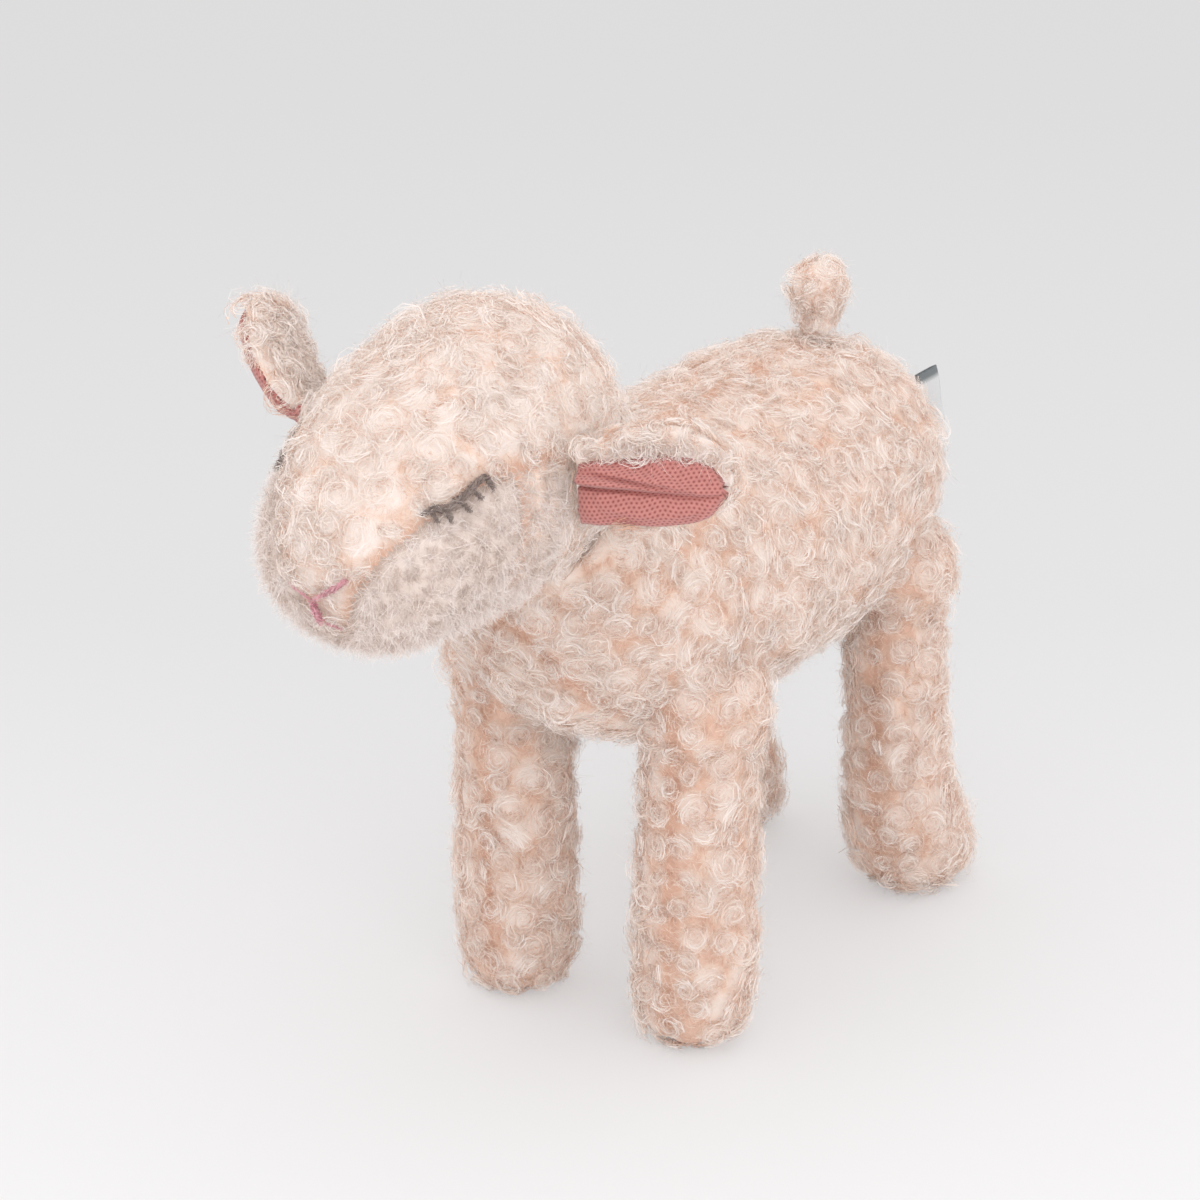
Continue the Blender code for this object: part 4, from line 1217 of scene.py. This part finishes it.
def lining_grid(places, skin, steps, low, high):
    """Points of the lining, laid over the ear's inner side and lifted by its relief."""
    columns, rows = LINING_STEPS
    along_skin, across_skin, _ = places.shares(skin.corners)
    corners = []
    ground = 0.0
    for number, (step, bottom, top) in enumerate(zip(steps, low, high)):
        folds = folds_at(number / (columns - 1))
        tuck = TUCK * bell(step - steps[0], TUCK_LENGTH)
        near = across_skin[np.abs(along_skin - step) < EAR_VOXEL]
        least, most = near.min() + EAR_VOXEL, near.max() - EAR_VOXEL
        for share in np.linspace(0, 1, rows):
            across = bottom + (top - bottom) * share
            start = Vector(places.point(step, min(max(across, least), most), ABOVE_EAR))
            hit = skin.surface.ray_cast(start, Vector(-places.out))[0]
            ground = places.shares(np.array(hit))[2] if hit else ground
            corners.append(places.point(step, across, ground + lining_relief(share, folds) - tuck))
    grid = np.array(corners).reshape(columns, rows, 3)
    inner = grid[1:-1, 1:-1]
    around = grid[:-2, 1:-1] + grid[2:, 1:-1] + grid[1:-1, :-2] + grid[1:-1, 2:]
    inner += (around / 4 - inner) / 2
    for edge in (grid[:, 0], grid[:, -1], grid[-1]):
        edge[:] = skin.laid(edge, -LINING_SINK)[0]
    return grid


def build_lining(side, places, skin, edges):
    """A pink sheet over the ear's inner side, with its map measured along the cloth."""
    steps = edges[0]
    grid = lining_grid(places, skin, *edges)
    rows = grid.shape[1]
    measured = np.cumsum(np.linalg.norm(np.diff(grid, axis=1, prepend=grid[:, :1]), axis=2), axis=1)
    measured -= measured[:, rows // 2, None]
    reached = np.repeat((steps - steps[0])[:, None], rows, 1)
    uvs = np.stack((reached / MAP_SPAN, MAP_MIDDLE + measured / MAP_SPAN), 2).reshape(-1, 2)
    faces = grid_faces(*LINING_STEPS)
    normal = np.cross(grid[1, 0] - grid[0, 0], grid[0, 1] - grid[0, 0])
    if normal @ places.out < 0:
        faces = faces[:, ::-1]
    node = f"ear_{side}_lining"
    corners = grid.reshape(-1, 3)
    lining = add_sheet(
        f"{node}_cloth", corners, faces, uvs, LINING_THICKNESS, "lining", f"ear_{side}", node
    )


def build_cover(skin, node, nodes, scale, bare=None, closer=1.0):
    """Cloth and wool over a whole skin, but for wool on what is bare."""
    random = np.random.default_rng(SEEDS[skin.name])
    curls = Curls(skin, skin.everything, random, scale, bare, closer)
    add_cloth(f"{node}_cloth", skin, skin.everything, curls, "boucle", skin.name, nodes)
    shown = skin.everything
    if bare is not None:
        shown = shown[~bare(skin.middles, unit(skin.normals[skin.faces].mean(1)))]
    chosen = np.arange(len(curls.middles))
    add_wool(f"{node}_curls", skin, shown, curls, chosen, skin.name, random, EAR_CLOSER_SHARE)


def build_ear(side):
    """A pink lining and the curly back that rolls over its edge."""
    places = EarPlaces(side)
    node = f"ear_{side}_back"
    skin = Skin(f"ear_{side}", [node], [f"ear_{side}_lining"], EAR_DEPTH, EAR_VOXEL, EAR_SMOOTHING)
    edges = lining_edges(places, skin, side)
    build_lining(side, places, skin, edges)
    steps, _, high = edges

    def under_lining(points, normals):
        along, across, _ = places.shares(points)
        top = np.interp(along, steps, high)
        inside = (across < top + LINING_OVERLAP) & (along < steps[-1])
        return inside & (normals @ places.out > LINING_FACING[side])

    build_cover(skin, node, [node], EAR_SCALE[side], under_lining, EAR_CLOSER_SHARE)


def build_neck():
    """Cloth and fluff over the stuffed neck, seen only in the crease under the head."""
    skin = Skin("neck", ["neck_filling"], [], NECK_DEPTH)
    random = np.random.default_rng(SEEDS["neck"])
    curls = Curls(skin, skin.everything, random, NECK_SCALE)
    add_cloth("neck_cloth", skin, skin.everything, curls, "boucle", "neck", ["neck_filling"])
    add_strands("neck_pile", [fluff(skin, skin.everything, curls, random)], "boucle", "neck", random)


def build_tail():
    nodes = ["tail_cover", "tail_filling"]
    skin = Skin("tail", nodes[:1], nodes[1:], TAIL_DEPTH, EAR_VOXEL, EAR_SMOOTHING)
    build_cover(skin, "tail_cover", nodes, TAIL_SCALE)


# Label: a bare satin ribbon folded over, with its cut ends in the seam

LABEL_STEPS = (40, 24)
LABEL_THICKNESS = 0.00015
LABEL_GAP = 0.0005
LABEL_FOLD_SHARE = 0.25
LABEL_WAVE = 0.0005
LABEL_WAVE_ANGLES = (0.6, 5.1)


def build_label():
    hinge = JOINTS["label_flap"]
    root = np.array(hinge["pos_m"])
    long_way = unit(np.array(hinge["axis"]))
    corners = node_corners("label")
    out = corners.mean(0) - root
    out = unit(out - long_way * (out @ long_way))
    side = np.cross(long_way, out)
    depths = (corners - root) @ out
    ends = (corners - root) @ long_way
    start, length = depths.min(), depths.max() - depths.min()
    low, width = ends.min(), ends.max() - ends.min()
    first_angle, turned_angle = LABEL_WAVE_ANGLES
    steps, rows = LABEL_STEPS
    points, uvs = [], []
    for number in range(steps):
        turn = number / (steps - 1) * 2 - 1
        depth = start + length * (1 - abs(turn))
        bend = math.copysign(LABEL_GAP * min(1.0, abs(turn) / LABEL_FOLD_SHARE) ** 0.5, turn)
        for share in np.linspace(0, 1, rows):
            place = low + width * share
            curve = LABEL_WAVE * math.sin(share * turned_angle + first_angle) * (depth - start) / length
            points.append(root + out * depth + long_way * place + side * (bend + curve))
            uvs.append(((turn + 1) * length / MAP_SPAN, place / MAP_SPAN + MAP_MIDDLE))
    faces = grid_faces(*LABEL_STEPS)
    label = add_sheet(
        "label_ribbon", np.array(points), faces, np.array(uvs), LABEL_THICKNESS, "label", "label", "label"
    )


fillings = ["body_filling", *(f"{leg}_filling" for leg in LEGS)]
torso = Skin("torso", [*TORSO_PANELS, *LEG_PANELS], fillings, torso_depth)
build_panels(torso, in_bowl)
head = Skin("head", HEAD_PANELS, ["head_filling"])
build_panels(head, under_head, is_brushed)
threads = np.random.default_rng(SEEDS["threads"])
build_eye("left", LID, head, threads)
build_eye("right", mirrored(LID) + RIGHT_EYE_STEP, head, threads)
build_nose(head, threads)
for side in SIDES:
    build_ear(side)
build_neck()
build_tail()
build_label()


# Camera, set at the photograph's angle

CAMERA_AZIMUTH_DEG = 33.3
CAMERA_ELEVATION_DEG = 23.8
CAMERA_DISTANCE = 1.100
CAMERA_VIEW_DEG = 15.6
CAMERA_TARGET = Vector((-0.012652, 0.005473, 0.108))
CAMERA_NEAREST = 0.01
CAMERA_FURTHEST = 20.0

# Floor: places towards the camera with their brightness, which is painted light falling off over the
# floor, and the share that glows by itself, painted light that lifts the shadows on it
FLOOR_SIZE = 6.0
FLOOR_ROUGHNESS = 0.95
FLOOR_TINT_SHARES = (1.0, 0.99, 0.995)
FLOOR_GLOW_SHARE = 0.5
FLOOR_PAINTED_LIGHT = (
    (-1.60, 0.735),
    (-0.95, 0.70),
    (-0.75, 0.702),
    (-0.25, 0.745),
    (0.11, 0.875),
    (0.30, 0.875),
    (1.50, 0.72),
    (2.40, 0.735),
)

# Lights: even light from all round, and lamps with their place, size and power
SKY_TONE = 0.735
LAMPS = {
    "top": ((0.1, -0.3, 1.7), 1.8, 3.6),
    "front": ((1.2, -1.2, 1.1), 1.4, 8.0),
}


def background_rays(tree):
    """One for the rays that show the background: straight, or by way of metal or glass."""
    seen = add_node(tree, "ShaderNodeLightPath")
    share = seen.outputs["Is Camera Ray"]
    for kind in ("Is Glossy Ray", "Is Transmission Ray"):
        most = add_node(tree, "ShaderNodeMath", {0: share, 1: seen.outputs[kind]}, operation="MAXIMUM")
        share = most.outputs[0]
    return share


def mixed_shader(tree, share, one, other):
    return add_node(tree, "ShaderNodeMixShader", {0: share, 1: one, 2: other}).outputs[0]


def floor_material():
    """Pale floor with painted light: a little lighter in front of the sheep than far behind it."""
    material, tree, shader = new_material("floor", FLOOR_ROUGHNESS)
    azimuth = math.radians(CAMERA_AZIMUTH_DEG)
    place = add_node(tree, "ShaderNodeTexCoord").outputs["Object"]
    inputs = {0: place, 1: (math.sin(azimuth), -math.cos(azimuth), 0.0)}
    forward = add_node(tree, "ShaderNodeVectorMath", inputs, operation="DOT_PRODUCT").outputs["Value"]
    far, near = FLOOR_PAINTED_LIGHT[0][0], FLOOR_PAINTED_LIGHT[-1][0]
    share = add_node(tree, "ShaderNodeMapRange", {"Value": forward, "From Min": far, "From Max": near})
    stops = []
    for depth, level in FLOOR_PAINTED_LIGHT:
        stops.append(((depth - far) / (near - far), [level * part for part in FLOOR_TINT_SHARES]))
    tone = ramp(tree, share.outputs[0], stops)
    give(tree, shader.inputs["Base Color"], tone)
    # Painted light: for the rays that show the background the floor half glows, which lifts the sheep's
    # shadow
    inputs = {0: background_rays(tree), 1: FLOOR_GLOW_SHARE}
    part = add_node(tree, "ShaderNodeMath", inputs, operation="MULTIPLY").outputs[0]
    glow = add_node(tree, "ShaderNodeEmission", {"Color": tone})
    mixed = mixed_shader(tree, part, shader.outputs[0], glow.outputs[0])
    give(tree, tree.nodes["Material Output"].inputs["Surface"], mixed)
    return material


def build_stage():
    bpy.ops.mesh.primitive_plane_add(size=FLOOR_SIZE, location=(0, 0, 0))
    floor = bpy.context.object
    floor.name = "floor"
    floor.data.materials.append(floor_material())


def build_lights():
    world = bpy.data.worlds.new("studio")
    bpy.context.scene.world = world
    world.use_nodes = True
    tree = world.node_tree
    light = tree.nodes["Background"]
    light.inputs["Color"].default_value = (1.0, 1.0, 1.0, 1)
    light.inputs["Strength"].default_value = 1.0
    sky = add_node(tree, "ShaderNodeBackground", {"Color": (*grey(SKY_TONE), 1)})
    mixed = mixed_shader(tree, background_rays(tree), light.outputs[0], sky.outputs[0])
    give(tree, tree.nodes["World Output"].inputs["Surface"], mixed)
    for name, (place, size, power) in LAMPS.items():
        data = bpy.data.lights.new(name, "AREA")
        data.shape = "SQUARE"
        data.size = size
        data.energy = power
        lamp = add_object(name, data)
        lamp.location = place
        lamp.rotation_euler = (CAMERA_TARGET - Vector(place)).to_track_quat("-Z", "Y").to_euler()


def build_camera():
    azimuth = math.radians(CAMERA_AZIMUTH_DEG)
    elevation = math.radians(CAMERA_ELEVATION_DEG)
    flat = math.cos(elevation)
    back = Vector((math.sin(azimuth) * flat, -math.cos(azimuth) * flat, math.sin(elevation)))
    data = bpy.data.cameras.new("camera")
    data.sensor_fit = "HORIZONTAL"
    data.angle = math.radians(CAMERA_VIEW_DEG)
    data.clip_start = CAMERA_NEAREST
    data.clip_end = CAMERA_FURTHEST
    camera = add_object("camera", data)
    camera.location = CAMERA_TARGET + back * CAMERA_DISTANCE
    camera.rotation_euler = (-back).to_track_quat("-Z", "Y").to_euler()
    bpy.context.scene.camera = camera


build_stage()
build_lights()
build_camera()
bpy.context.scene.view_settings.view_transform = "Standard"
